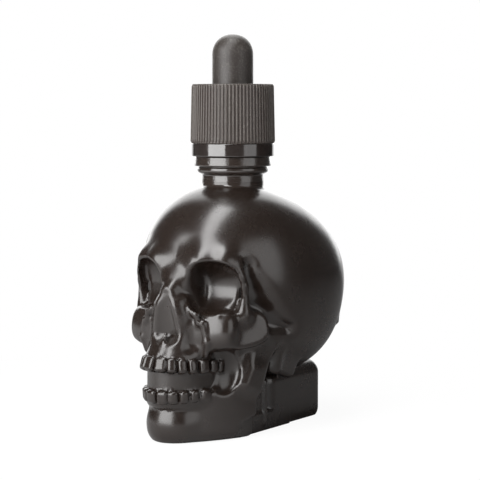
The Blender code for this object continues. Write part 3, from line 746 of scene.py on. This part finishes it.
def tree_of(kind, name, inputs, result):
    """A new node group. Each input is (name, socket type, default), and the result (name, type)."""
    tree = bpy.data.node_groups.new(name, kind)
    for label, socket_type, default in inputs:
        socket = tree.interface.new_socket(label, in_out="INPUT", socket_type=socket_type)
        if default is not None:
            socket.default_value = default
    tree.interface.new_socket(result[0], in_out="OUTPUT", socket_type=result[1])
    return tree, tree.nodes.new("NodeGroupInput").outputs, tree.nodes.new("NodeGroupOutput").inputs[0]


def shaped(mesh, tree, values):
    """The mesh after a Geometry Nodes tree with these input values."""
    obj = linked(mesh.name, mesh)
    modifier = obj.modifiers.new(tree.name, "NODES")
    modifier.node_group = tree
    for item in tree.interface.items_tree:
        if item.in_out == "INPUT" and item.name in values:
            modifier[item.identifier] = values[item.name]
    return applied(obj)


def mesh_tree(name, sizes, counts=()):
    """A Geometry Nodes tree with a body, sizes, counts and a material as its inputs."""
    sockets = [("Geometry", GEOMETRY, None)]
    sockets += [(label, "NodeSocketInt", 12) for label in counts]
    sockets += [(label, FLOAT, 0.001) for label in sizes]
    sockets.append(("Material", "NodeSocketMaterial", None))
    return tree_of("GeometryNodeTree", name, sockets, ("Geometry", GEOMETRY))


def path_between(tree, start, end, count):
    """A straight path with this many points. Each end is its X and its Z."""
    ends = [output(tree, "ShaderNodeCombineXYZ", {"X": x, "Z": z}) for x, z in (start, end)]
    line = output(tree, "GeometryNodeCurvePrimitiveLine", {"Start": ends[0], "End": ends[1]})
    return output(tree, "GeometryNodeResampleCurve", {"Curve": line, "Count": count})


def faded_rod(tree, path, radius, fade):
    """A rod along a path of 1 spline. Over the share fade of its length, each end is drawn in."""
    along = node(tree, "GeometryNodeSplineParameter").outputs["Factor"]
    from_middle = maths(tree, "ABSOLUTE", maths(tree, "SUBTRACT", along, 0.5))
    scale = ramp(tree, from_middle, 0.5 - fade, 0.5, 1.0, ROD_END_SHARE, "SMOOTHSTEP")
    circle = output(tree, "GeometryNodeCurvePrimitiveCircle", {"Resolution": 12, "Radius": radius})
    swept = {"Curve": path, "Profile Curve": circle, "Scale": scale, "Fill Caps": True}
    return output(tree, "GeometryNodeCurveToMesh", swept)


def copies_around(tree, geometry, count):
    """Copies of a geometry turned evenly round Z, made real."""
    spots = output(tree, "GeometryNodeMeshLine", {"Count": count, "Offset": (0, 0, 0)})
    step = maths(tree, "DIVIDE", math.tau, count)
    turn = maths(tree, "MULTIPLY", output(tree, "GeometryNodeInputIndex"), step)
    facing = output(tree, "ShaderNodeCombineXYZ", {"Z": turn})
    placed = {"Points": spots, "Instance": geometry, "Rotation": facing}
    copies = output(tree, "GeometryNodeInstanceOnPoints", placed)
    return output(tree, "GeometryNodeRealizeInstances", {"Geometry": copies})


def ended(tree, part, given, result):
    """Joins a part to the incoming body, gives both the material and sends them out of the tree."""
    both = node(tree, "GeometryNodeJoinGeometry")
    for geometry in (given["Geometry"], part):
        tree.links.new(geometry, both.inputs[0])
    made = {"Geometry": both.outputs[0], "Material": given["Material"]}
    tree.links.new(output(tree, "GeometryNodeSetMaterial", made), result)
    return tree


def ribs_tree():
    """Adds upright half-round ribs around the incoming body."""
    sizes = ("Low Radius", "High Radius", "Low", "High", "Rib Radius")
    tree, given, result = mesh_tree("ribs_around", sizes, ["Count"])
    foot, head = (given["Low Radius"], given["Low"]), (given["High Radius"], given["High"])
    rib = faded_rod(tree, path_between(tree, foot, head, RIB_POINTS), given["Rib Radius"], 0.035)
    return ended(tree, copies_around(tree, rib, given["Count"]), given, result)


def stubs_tree():
    """Adds copies of a short upright stub around the incoming body."""
    sizes = ("Radius", "Base", "Height", "Width")
    tree, given, result = mesh_tree("stubs_around", sizes, ["Count"])
    top = maths(tree, "ADD", given["Base"], given["Height"])
    path = path_between(tree, (given["Radius"], given["Base"]), (given["Radius"], top), STUB_POINTS)
    stub = faded_rod(tree, path, maths(tree, "DIVIDE", given["Width"], 2.0), 0.3)
    return ended(tree, copies_around(tree, stub, given["Count"]), given, result)


def thread_tree():
    """Adds a screw thread that climbs anticlockwise round Z to the incoming body."""
    sizes = ("Radius", "Base", "Pitch", "Turns", "Rod Radius")
    tree, given, result = mesh_tree("screw_thread", sizes)
    line = output(tree, "GeometryNodeCurvePrimitiveLine", {"End": (0, 0, 1)})
    fine = output(tree, "GeometryNodeResampleCurve", {"Curve": line, "Count": THREAD_POINTS})
    along = node(tree, "GeometryNodeSplineParameter").outputs["Factor"]
    turns = maths(tree, "MULTIPLY", along, given["Turns"])
    angle = maths(tree, "MULTIPLY", turns, math.tau)
    place = {
        "X": maths(tree, "MULTIPLY", maths(tree, "COSINE", angle), given["Radius"]),
        "Y": maths(tree, "MULTIPLY", maths(tree, "SINE", angle), given["Radius"]),
        "Z": maths(tree, "ADD", maths(tree, "MULTIPLY", turns, given["Pitch"]), given["Base"]),
    }
    point = output(tree, "ShaderNodeCombineXYZ", place)
    path = output(tree, "GeometryNodeSetPosition", {"Geometry": fine, "Position": point})
    return ended(tree, faded_rod(tree, path, given["Rod Radius"], 0.06), given, result)


def threaded(mesh, radius, base, cap, material):
    """The mesh with a screw thread. Radius and base are those of the thread's middle line."""
    values = {
        "Radius": radius,
        "Base": base,
        "Pitch": cap.pitch,
        "Turns": cap.turns,
        "Rod Radius": THREAD_ROD,
        "Material": material,
    }
    return shaped(mesh, bpy.data.node_groups.get("screw_thread") or thread_tree(), values)


def noise(tree, vector, scale, detail, roughness=0.5):
    values = {"Vector": vector, "Scale": scale, "Detail": detail, "Roughness": roughness}
    return output(tree, "ShaderNodeTexNoise", values)


def effect_tree(name, numbers, result_name):
    """A shader group with a vector and numbers as inputs. It also gives the scale for its Size."""
    sockets = [("Vector", "NodeSocketVector", None)]
    sockets += [(label, FLOAT, value) for label, value in numbers.items()]
    tree, given, result = tree_of("ShaderNodeTree", name, sockets, (result_name, FLOAT))
    return tree, given, result, maths(tree, "DIVIDE", 1.0, given["Size"])


def grain_group():
    """A fine grain of two sizes, as height: the skin of a coat, or of a spark-eroded mould."""
    numbers = {"Size": 0.0004, "Fine Share": 0.35}
    tree, given, result, scale = effect_tree("fine_grain", numbers, "Height")
    coarse = noise(tree, given["Vector"], scale, 2.0)
    fine = noise(tree, given["Vector"], maths(tree, "MULTIPLY", scale, 4.0), 1.0)
    extra = maths(tree, "MULTIPLY", maths(tree, "SUBTRACT", fine, 0.5), given["Fine Share"])
    tree.links.new(maths(tree, "ADD", coarse, extra), result)
    return tree


def gloss_group():
    """Roughness that drifts between two values, as on a surface that hands have held."""
    numbers = {"Size": 0.006, "Low": 0.2, "High": 0.3}
    tree, given, result, scale = effect_tree("uneven_gloss", numbers, "Roughness")
    drift = noise(tree, given["Vector"], scale, 4.0, 0.6)
    tree.links.new(ramp(tree, drift, 0.3, 0.7, given["Low"], given["High"]), result)
    return tree


def dust_and_top_light_group():
    """Specks of dust, thicker where the surface faces up, over a thin even pale layer. The weight on
    upward faces is partly painted top light: it makes the tops paler, as a light from above would. The
    mask goes from 0 to 1.
    """
    numbers = {"Size": 0.0005, "Amount": 0.1}
    tree, given, result, scale = effect_tree("settled_dust", numbers, "Mask")
    normal = node(tree, "ShaderNodeNewGeometry").outputs["Normal"]
    up = node(tree, "ShaderNodeSeparateXYZ", {"Vector": normal}).outputs["Z"]
    # Upward faces get more: settled dust, and partly painted top light that pales the tops
    facing = ramp(tree, up, -0.3, 1.0, 0.25)
    specks = ramp(tree, noise(tree, given["Vector"], scale, 3.0, 0.7), 0.50, 0.66)
    patch = noise(tree, given["Vector"], maths(tree, "MULTIPLY", scale, 0.06), 2.0)
    thick = maths(tree, "MULTIPLY", specks, patch)
    # The 0.2 lays a pale layer between the specks; weighted to the tops, it is painted top light
    even = maths(tree, "ADD", maths(tree, "MULTIPLY", thick, 1.6), 0.2)
    mask = maths(tree, "MULTIPLY", maths(tree, "MULTIPLY", even, facing), given["Amount"])
    tree.links.new(mask, result)
    return tree


def effect(tree, name, **values):
    """One of the shared groups, built at its first use and placed in this material."""
    makers = {"fine_grain": grain_group, "uneven_gloss": gloss_group, "settled_dust": dust_and_top_light_group}
    group = bpy.data.node_groups.get(name) or makers[name]()
    made = node(tree, "ShaderNodeGroup", node_tree=group)
    feed(tree, made.inputs["Vector"], node(tree, "ShaderNodeTexCoord").outputs["Object"])
    for label, value in values.items():
        feed(tree, made.inputs[label.replace("_", " ")], value)
    return made.outputs[0]


def new_material(name, **values):
    """A material with a Principled shader whose sockets have these values."""
    material = bpy.data.materials.new(name)
    material.use_nodes = True
    sockets = material.node_tree.nodes["Principled BSDF"].inputs
    for label, value in values.items():
        sockets[label.replace("_", " ")].default_value = value
    return material, material.node_tree, sockets


def blended(tree, share, first, second):
    """A colour between two others. Each is a colour or another node's output."""
    mix = node(tree, "ShaderNodeMix", {"Factor": share}, data_type="RGBA")
    ends = [socket for socket in mix.inputs if socket.type == "RGBA"]
    feed(tree, ends[0], first)
    feed(tree, ends[1], second)
    return next(socket for socket in mix.outputs if socket.type == "RGBA")


def dusted_and_top_lit(tree, sockets, base, amount, speck):
    """Feeds the base colour with dust over it, and with a painted top light that makes upward faces
    paler.
    """
    mask = effect(tree, "settled_dust", Amount=amount, Size=speck)
    tree.links.new(blended(tree, mask, base, (*DUST_AND_TOP_LIGHT, 1.0)), sockets["Base Color"])


def bumped(tree, sockets, height, distance):
    """Feeds a height to the shader's normal. Distance is in metres."""
    values = {"Height": height, "Distance": distance}
    tree.links.new(output(tree, "ShaderNodeBump", values), sockets["Normal"])


def worn(tree, sockets, gloss, grain, depth):
    """Gives a surface its uneven gloss and its fine grain. Depth is in metres."""
    tree.links.new(effect(tree, "uneven_gloss", **gloss), sockets["Roughness"])
    bumped(tree, sockets, effect(tree, "fine_grain", **grain), depth)


def coated_glass(finishes):
    """A satin black coat, masked off at an uneven line on the neck, where the glass is bare."""
    material, tree, sockets = new_material("coated_glass", Coat_Weight=0.08, Coat_Roughness=0.16)
    place = node(tree, "ShaderNodeTexCoord").outputs["Object"]
    height = node(tree, "ShaderNodeSeparateXYZ", {"Vector": place}).outputs["Z"]
    wander = maths(tree, "SUBTRACT", noise(tree, place, 520.0, 3.0), 0.5)
    line = maths(tree, "ADD", height, maths(tree, "MULTIPLY", wander, MASK_WANDER))
    bare = ramp(tree, line, MASK_LINE - MASK_EDGE, MASK_LINE + MASK_EDGE)
    both = blended(tree, bare, (*finishes.coat, 1.0), (*finishes.bare, 1.0))
    dusted_and_top_lit(tree, sockets, both, 0.03, 0.0007)
    rough = finishes.coat_roughness
    satin = effect(tree, "uneven_gloss", Low=rough - 0.03, High=rough + 0.03, Size=0.007)
    ends = {0: bare, 2: satin, 3: finishes.bare_roughness}
    tree.links.new(output(tree, "ShaderNodeMix", ends, data_type="FLOAT"), sockets["Roughness"])
    coat = maths(tree, "SUBTRACT", 1.0, bare)
    skin = maths(tree, "MULTIPLY", effect(tree, "fine_grain", Size=0.00055), 0.35)
    thickness = maths(tree, "MULTIPLY", coat, maths(tree, "ADD", skin, 3.0))
    bumped(tree, sockets, thickness, 0.000012)
    return material


def bare_glass(finishes):
    """The glossy black of the neck and its rings."""
    material, tree, sockets = new_material("bare_glass", Coat_Weight=0.4, Coat_Roughness=0.12)
    dusted_and_top_lit(tree, sockets, (*finishes.bare, 1.0), 0.05, 0.0005)
    rough = finishes.bare_roughness
    gloss = {"Low": rough - 0.03, "High": rough + 0.06, "Size": 0.003}
    worn(tree, sockets, gloss, {"Size": 0.0019, "Fine_Share": 0.3}, 0.00011)
    return material


def gloss_plastic(finishes):
    """The moulded band: glossy, with the faint flow of the mould."""
    material, tree, sockets = new_material("gloss_plastic", Coat_Weight=0.6, Coat_Roughness=0.10)
    dusted_and_top_lit(tree, sockets, (*finishes.band, 1.0), 0.05, 0.0005)
    gloss = {"Low": 0.11, "High": 0.18, "Size": 0.004}
    worn(tree, sockets, gloss, {"Size": 0.0035, "Fine_Share": 0.1}, 0.00002)
    return material


def satin_plastic(finishes):
    """The cap: satin plastic with a fine spark-eroded grain."""
    material, tree, sockets = new_material("satin_plastic", Specular_IOR_Level=0.42)
    # The heavy dust here also paints top light: the cap's upward faces come out paler
    dusted_and_top_lit(tree, sockets, (*finishes.cap, 1.0), 0.36, 0.00045)
    gloss = {"Low": 0.34, "High": 0.46, "Size": 0.003}
    worn(tree, sockets, gloss, {"Size": 0.00016, "Fine_Share": 0.5}, 0.000010)
    return material


def black_rubber(finishes):
    """The bulb: matt rubber with a pale bloom, dust that clings to it, and a painted top light that pales
    its upper faces.
    """
    material, tree, sockets = new_material(
        "black_rubber",
        Specular_IOR_Level=0.4,
        Sheen_Weight=0.1,
        Sheen_Roughness=0.5,
        Sheen_Tint=(0.8, 0.78, 0.75, 1.0),
    )
    dusted_and_top_lit(tree, sockets, (*finishes.rubber, 1.0), 0.26, 0.00055)
    gloss = {"Low": 0.38, "High": 0.50, "Size": 0.004}
    worn(tree, sockets, gloss, {"Size": 0.00022, "Fine_Share": 0.4}, 0.000014)
    return material


def clear_glass(finishes):
    """The pipette's drawn glass, with the slight waviness of its wall."""
    material, tree, sockets = new_material(
        "clear_glass", Base_Color=(*finishes.clear, 1.0), Transmission_Weight=1.0, IOR=1.47
    )
    gloss = {"Low": 0.0, "High": 0.03, "Size": 0.003}
    worn(tree, sockets, gloss, {"Size": 0.0045, "Fine_Share": 0.05}, 0.00002)
    return material


class SKULLBOTTLE_OT_glass(bpy.types.Operator):
    """Makes the skull: its surface, its inner wall and the hole to the neck"""

    bl_idname = "skullbottle.glass"
    bl_label = "Skull"

    def execute(self, context):
        sizes = context.scene.bottle_sizes
        top = sizes.neck_top - SKULL_NECK_STOP
        steps = list(skull_steps(sizes.neck_radius / MM, top / MM))
        bore = (sizes.bore_radius + HOLE_MARGIN) / MM
        mesh, outer = glass_mesh(steps, sizes.cell / MM, sizes.wall / MM, bore, BRAINCASE_AT[2])
        mesh = thinned(mesh, outer, sizes.inside_share)
        material = coated_glass(context.scene.finishes)
        put(mesh, "skull_glass", "bottle", "skull_bottle", material)
        return {"FINISHED"}


class SKULLBOTTLE_OT_neck(bpy.types.Operator):
    """Makes the bare glass neck: two rings, the bead, the thread and the lip"""

    bl_idname = "skullbottle.neck"
    bl_label = "Neck"

    def execute(self, context):
        sizes, cap = context.scene.bottle_sizes, context.scene.cap_sizes
        root, foot = sizes.neck_radius - ROOT_INSET, sizes.neck_top - ROOT_LENGTH
        lap = sizes.neck_top - LAP
        bead = sizes.finish_base + BEAD_RISE
        low, high, finish = sizes.low_ring, sizes.high_ring, sizes.finish_radius
        base = sizes.finish_base + cap.closing
        corners = [
            (sizes.bore_radius, LIP, 0.0009),
            (finish, LIP, 0.0006),
            (finish, bead + 0.0009, 0.0003),
            (sizes.bead_radius, bead + BEAD_FLAT, 0.0002),
            (sizes.bead_radius, bead - BEAD_FLAT, 0.0002),
            (finish, bead - 0.0007, 0.0002),
            (finish, base, 0.0002),
            (high - 0.0003, base, 0.0003),
            (high, sizes.ring_middle, 0.0003),
            (low - 0.0006, sizes.ring_middle, 0.00015),
            (low, sizes.ring_middle - 0.0005, 0.0005),
            (low + 0.0001, sizes.neck_top + 0.0009, 0.0008),
            (sizes.neck_radius - 0.0001, sizes.neck_top + 0.0002, 0.0004),
            (sizes.neck_radius + 0.00005, lap, 0),
            (root, lap, 0),
            (root, foot, 0),
            (sizes.bore_radius, foot, 0),
        ]
        material = bare_glass(context.scene.finishes)
        thread_radius = finish + cap.thread_depth - THREAD_ROD
        thread_base = THREAD_TOP - cap.pitch * cap.turns
        mesh = threaded(turned_ring("neck", corners), thread_radius, thread_base, cap, material)
        put(mesh, "bare_neck", "bottle", "skull_bottle", material)
        return {"FINISHED"}


class SKULLBOTTLE_OT_band(bpy.types.Operator):
    """Makes the tamper band, with the stubs of its snapped bridges"""

    bl_idname = "skullbottle.band"
    bl_label = "Tamper band"

    def execute(self, context):
        cap, bottle = context.scene.cap_sizes, context.scene.bottle_sizes
        low, high, outer = BAND_LOW.z - cap.closing, BAND_HIGH.z + cap.closing, BAND_HIGH.x
        inner, catch = outer - cap.band_wall, bottle.bead_radius - CATCH_GRIP
        corners = [
            (inner, high, 0.0001),
            (outer, high, 0.0002),
            (outer, low, 0.0002),
            (catch, low, 0.0001),
            (catch, low + CATCH_HEIGHT, 0.0001),
            (inner, low + CATCH_HEIGHT + CATCH_SLOPE, 0.0002),
        ]
        material = gloss_plastic(context.scene.finishes)
        stubs = {
            "Count": cap.stub_count,
            "Radius": (inner + outer) / 2,
            "Base": high - STUB_SINK,
            "Height": STUB_HEIGHT,
            "Width": STUB_WIDTH,
            "Material": material,
        }
        mesh = shaped(turned_ring("band", corners), stubs_tree(), stubs)
        put(mesh, "tamper_ring", "band", "tamper_band", material)
        return {"FINISHED"}


class SKULLBOTTLE_OT_cap(bpy.types.Operator):
    """Makes the cap, with its upright ribs outside and its thread inside"""

    bl_idname = "skullbottle.cap"
    bl_label = "Ribbed cap"

    def execute(self, context):
        cap, bottle = context.scene.cap_sizes, context.scene.bottle_sizes
        hole = context.scene.dropper_sizes.bulb_radius + cap.clearance
        low, high = COLLAR_LOW.z - cap.closing, COLLAR_HIGH.z
        low_root, high_root = COLLAR_HIGH.x - cap.rib_depth, cap.top_radius - cap.rib_depth
        inner = bottle.finish_radius + cap.thread_depth + cap.clearance
        corners = [
            (hole, high, 0.0002),
            (high_root, high, 0.0003),
            (low_root, low, 0.0002),
            (inner, low, 0.0003),
            (inner, high - cap.web, 0.0004),
            (hole, high - cap.web, 0.0001),
        ]
        material = satin_plastic(context.scene.finishes)
        rod = cap.rib_width * RIB_RADIUS_SHARE
        ribs = {
            "Count": cap.rib_count,
            "Low Radius": COLLAR_HIGH.x - rod,
            "High Radius": cap.top_radius - rod,
            "Low": low + RIB_END_GAP,
            "High": high - RIB_END_GAP,
            "Rib Radius": rod,
            "Material": material,
        }
        ribbed = shaped(turned_ring("cap", corners), ribs_tree(), ribs)
        thread_radius = inner - (cap.thread_depth - cap.clearance) + THREAD_ROD
        thread_base = THREAD_TOP - cap.pitch * (cap.turns + 0.5)
        mesh = threaded(ribbed, thread_radius, thread_base, cap, material)
        put(mesh, "ribbed_cap", "collar", "screw_collar", material)
        return {"FINISHED"}


class SKULLBOTTLE_OT_bulb(bpy.types.Operator):
    """Makes the rubber bulb, with its flange, its plug and its hollow"""

    bl_idname = "skullbottle.bulb"
    bl_label = "Rubber bulb"

    def execute(self, context):
        sizes, bottle = context.scene.dropper_sizes, context.scene.bottle_sizes
        outer, inner = sizes.bulb_radius, sizes.bulb_radius - sizes.bulb_wall
        flange, base = BULB_HIGH.x, BULB_LOW.z + sizes.plug
        grip, shelf = PIPETTE_HIGH.x + SEAT_GAP, PIPETTE_HIGH.z + SEAT_GAP
        plug = bottle.bore_radius - SEAT_GAP
        dome = BULB_HIGH.z - outer
        power = 2 / sizes.fullness
        arc = [math.radians(a) for a in np.linspace(0, 90, CURVE_POINTS)]

        def curved(radius):
            shares = [(math.cos(a) ** power, math.sin(a) ** power) for a in arc[:-1]]
            return [(radius * across, dome + radius * up) for across, up in shares]

        lower = filleted(
            [
                (outer - 0.0001, dome - DOME_LAP, 0),
                (outer + 0.00003, base + sizes.flange, 0.0003),
                (flange, base + sizes.flange, 0.0003),
                (flange, base, 0.0002),
                (plug, base, 0.0002),
                (plug, base - sizes.plug, 0.0003),
                (grip, base - sizes.plug, 0.0002),
                (grip, shelf, 0.0001),
                (inner, shelf + 0.0006, 0.0003),
                (inner, dome - DOME_LAP, 0),
            ]
        )
        outside, hollow = reversed(curved(outer)), curved(inner)
        mesh = turned_mesh("bulb", [(0, BULB_HIGH.z), *outside, *lower[1:-1], *hollow, (0, dome + inner)])
        material = black_rubber(context.scene.finishes)
        put(mesh, "squeeze_bulb", "dropper", "rubber_bulb", material)
        return {"FINISHED"}


class SKULLBOTTLE_OT_pipette(bpy.types.Operator):
    """Makes the glass pipette, drawn down to its tip"""

    bl_idname = "skullbottle.pipette"
    bl_label = "Glass pipette"

    def execute(self, context):
        sizes = context.scene.dropper_sizes
        outer, top, tip = PIPETTE_HIGH.x, PIPETTE_HIGH.z, PIPETTE_LOW.z
        bore = outer - sizes.pipette_wall
        drawn = []
        for t in np.linspace(0, 1, CURVE_POINTS):
            ease = t * t * (3 - 2 * t)
            drawn.append((ease, tip + sizes.taper * (0.15 + 0.85 * t)))
        wide, narrow = outer - sizes.tip_radius, bore - sizes.tip_hole
        down = [(sizes.tip_radius + ease * wide, height) for ease, height in reversed(drawn)]
        up = [(sizes.tip_hole + ease * narrow, height) for ease, height in drawn]
        rim = [
            (bore, top - RIM_LENGTH, 0),
            (bore, top, 0.0004),
            (outer, top, 0.0004),
            (outer, top - RIM_LENGTH, 0),
        ]
        end = [
            (sizes.tip_radius, tip + TIP_LENGTH, 0),
            (sizes.tip_radius, tip, 0.0003),
            (sizes.tip_hole, tip, 0.0003),
            (sizes.tip_hole, tip + TIP_LENGTH, 0),
        ]
        profile = [*filleted(rim), *down, *filleted(end)[1:-1], *up]
        mesh = turned_mesh("pipette", profile, closed=True, steps=PIPETTE_STEPS)
        material = clear_glass(context.scene.finishes)
        put(mesh, "drawn_pipette", "dropper", "glass_pipette", material)
        return {"FINISHED"}


# The stage: angles are in degrees, and the lamps' azimuths go from the camera's
LAMP_DISTANCE = 0.8
LAMP_TARGET = (0, 0, 0.05)
KEY_SIDE = -47
LAMPS = {
    "key": (KEY_SIDE, 13, 0.78, 0.70),
    "fill": (50, 14, 0.56, 0.60),
    "top": (-27, 66, 0.26, 0.92),
}
FLOOR_SIZE, FLOOR_DROP = 6.0, 0.0001
FLOOR_GREY, FLOOR_DULL = 0.86, 0.64


def lamp(name, azimuth, elevation, width, height, power):
    """A soft rectangular lamp that looks at the bottle."""
    light = bpy.data.lights.new(name, "AREA")
    light.shape = "RECTANGLE"
    light.size, light.size_y = width, height
    light.energy = power
    obj = linked(name, light)
    a, e = math.radians(azimuth), math.radians(elevation)
    away = Vector((math.sin(a) * math.cos(e), -math.cos(a) * math.cos(e), math.sin(e)))
    obj.location = away * LAMP_DISTANCE + Vector(LAMP_TARGET)
    obj.rotation_euler = (Vector(LAMP_TARGET) - obj.location).to_track_quat("-Z", "Y").to_euler()


def behind_share(tree, direction, azimuth, low, high):
    """From 0 to 1 within a wedge behind the bottle, as the camera sees it."""
    behind = (-math.sin(azimuth), math.cos(azimuth), 0.0)
    beside = (math.cos(azimuth), math.sin(azimuth), 0.0)
    along = measured(tree, "DOT_PRODUCT", direction, behind)
    across = measured(tree, "DOT_PRODUCT", direction, beside)
    narrow = maths(tree, "MULTIPLY", maths(tree, "ABSOLUTE", across), 1.5)
    return ramp(tree, maths(tree, "SUBTRACT", along, narrow), low, high, kind="SMOOTHSTEP")


def studio_world(settings):
    """White behind the bottle and to the camera, and a dim even room for the rest."""
    world = bpy.data.worlds.new("studio")
    bpy.context.scene.world = world
    world.use_nodes = True
    tree = world.node_tree
    tree.nodes.clear()
    path = node(tree, "ShaderNodeLightPath").outputs
    direction = node(tree, "ShaderNodeTexCoord").outputs["Generated"]
    behind = behind_share(tree, direction, settings.azimuth, -0.02, 0.22)
    bright = maths(tree, "MULTIPLY", behind, settings.backdrop)
    mirrored = maths(tree, "MULTIPLY", bright, path["Is Glossy Ray"])
    direct = maths(tree, "MAXIMUM", path["Is Camera Ray"], path["Is Transmission Ray"])
    strength = maths(tree, "MAXIMUM", maths(tree, "MAXIMUM", direct, mirrored), settings.room)
    light = output(tree, "ShaderNodeBackground", {"Color": (1, 1, 1, 1), "Strength": strength})
    tree.links.new(light, node(tree, "ShaderNodeOutputWorld").inputs["Surface"])


def floor_material(settings):
    """A pale floor that the camera sees as white, with part of the bottle's shadow."""
    material = bpy.data.materials.new("pale_floor")
    material.use_nodes = True
    tree = material.node_tree
    tree.nodes.clear()
    path = node(tree, "ShaderNodeLightPath").outputs
    place = node(tree, "ShaderNodeTexCoord").outputs["Object"]
    side = settings.azimuth + math.radians(KEY_SIDE)
    out = measured(tree, "DOT_PRODUCT", place, (math.sin(side), -math.cos(side), 0.0))
    dull = ramp(tree, out, 0.10, -0.02, 0.0, FLOOR_DULL)
    grey = maths(tree, "SUBTRACT", FLOOR_GREY, maths(tree, "MULTIPLY", path["Is Glossy Ray"], dull))
    lit = output(tree, "ShaderNodeBsdfDiffuse", {"Color": grey})
    white = output(tree, "ShaderNodeEmission", {"Color": (1, 1, 1, 1), "Strength": 1.0})
    seen = maths(tree, "MAXIMUM", path["Is Camera Ray"], path["Is Transmission Ray"])
    away = measured(tree, "LENGTH", place)
    plain = ramp(tree, away, 0.02, 0.14, 1.0 - settings.shadow, 1.0, "SMOOTHSTEP")
    behind = behind_share(tree, place, settings.azimuth, 0.03, 0.16)
    far = maths(tree, "MULTIPLY", behind, path["Is Glossy Ray"])
    share_white = maths(tree, "MAXIMUM", maths(tree, "MULTIPLY", seen, plain), far)
    mixed = output(tree, "ShaderNodeMixShader", {0: share_white, 1: lit, 2: white})
    tree.links.new(mixed, node(tree, "ShaderNodeOutputMaterial").inputs["Surface"])
    return material


def photo_camera(settings):
    """The camera, where the photograph was taken from."""
    camera = bpy.data.cameras.new("camera")
    camera.sensor_width = 36
    camera.lens = settings.lens
    camera.clip_start, camera.clip_end = 0.01, 20
    viewer = linked("camera", camera)
    a, distance = settings.azimuth, settings.distance
    viewer.location = (distance * math.sin(a), -distance * math.cos(a), settings.height)
    viewer.rotation_euler = (math.pi / 2 - settings.pitch, 0, a - settings.yaw)
    return viewer


class SKULLBOTTLE_OT_stage(bpy.types.Operator):
    """Makes the floor, the lamps, the white background and the camera"""

    bl_idname = "skullbottle.stage"
    bl_label = "Stage"

    def execute(self, context):
        settings = context.scene.stage_settings
        bm = bmesh.new()
        bmesh.ops.create_grid(bm, x_segments=1, y_segments=1, size=FLOOR_SIZE)
        mesh = bpy.data.meshes.new("floor")
        bm.to_mesh(mesh)
        bm.free()
        floor = linked("floor", mesh)
        floor.location.z = -FLOOR_DROP
        floor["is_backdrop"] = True
        painted(floor, floor_material(settings))
        studio_world(settings)
        for name, (side, *place) in LAMPS.items():
            lamp(name + "_lamp", math.degrees(settings.azimuth) + side, *place, getattr(settings, name))
        context.scene.camera = photo_camera(settings)
        context.scene.view_settings.view_transform = "Standard"
        return {"FINISHED"}


PIECES = (
    SKULLBOTTLE_OT_glass,
    SKULLBOTTLE_OT_neck,
    SKULLBOTTLE_OT_band,
    SKULLBOTTLE_OT_cap,
    SKULLBOTTLE_OT_bulb,
    SKULLBOTTLE_OT_pipette,
    SKULLBOTTLE_OT_stage,
)
SETTINGS = {
    "bottle_sizes": BottleSizes,
    "cap_sizes": CapSizes,
    "dropper_sizes": DropperSizes,
    "finishes": Finishes,
    "stage_settings": StageSettings,
}


class SKULLBOTTLE_PT_pieces(bpy.types.Panel):
    """Lists the pieces, and the sizes and finishes that they are made from"""

    bl_label = "Skull dropper bottle"
    bl_idname = "SKULLBOTTLE_PT_pieces"
    bl_space_type = "VIEW_3D"
    bl_region_type = "UI"
    bl_category = "Skull Bottle"

    def draw(self, context):
        for operator in PIECES:
            self.layout.operator(operator.bl_idname)
        for name, kind in SETTINGS.items():
            section = self.layout.box()
            section.label(text=name.replace("_", " ").capitalize())
            settings = getattr(context.scene, name)
            for label in kind.__annotations__:
                section.prop(settings, label)


def register():
    for kind in (*SETTINGS.values(), *PIECES, SKULLBOTTLE_PT_pieces):
        bpy.utils.register_class(kind)
    for name, kind in SETTINGS.items():
        setattr(bpy.types.Scene, name, PointerProperty(type=kind))


def unregister():
    for name in SETTINGS:
        delattr(bpy.types.Scene, name)
    for kind in reversed((*SETTINGS.values(), *PIECES, SKULLBOTTLE_PT_pieces)):
        bpy.utils.unregister_class(kind)


def main():
    register()
    for piece in PIECES:
        getattr(bpy.ops.skullbottle, piece.bl_idname.split(".")[1])()
    boxes = {"cad": CAD_BOX, "visual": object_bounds()}
    {name: [list(corner) for corner in corners] for name, corners in boxes.items()}


if __name__ == "__main__":
    main()
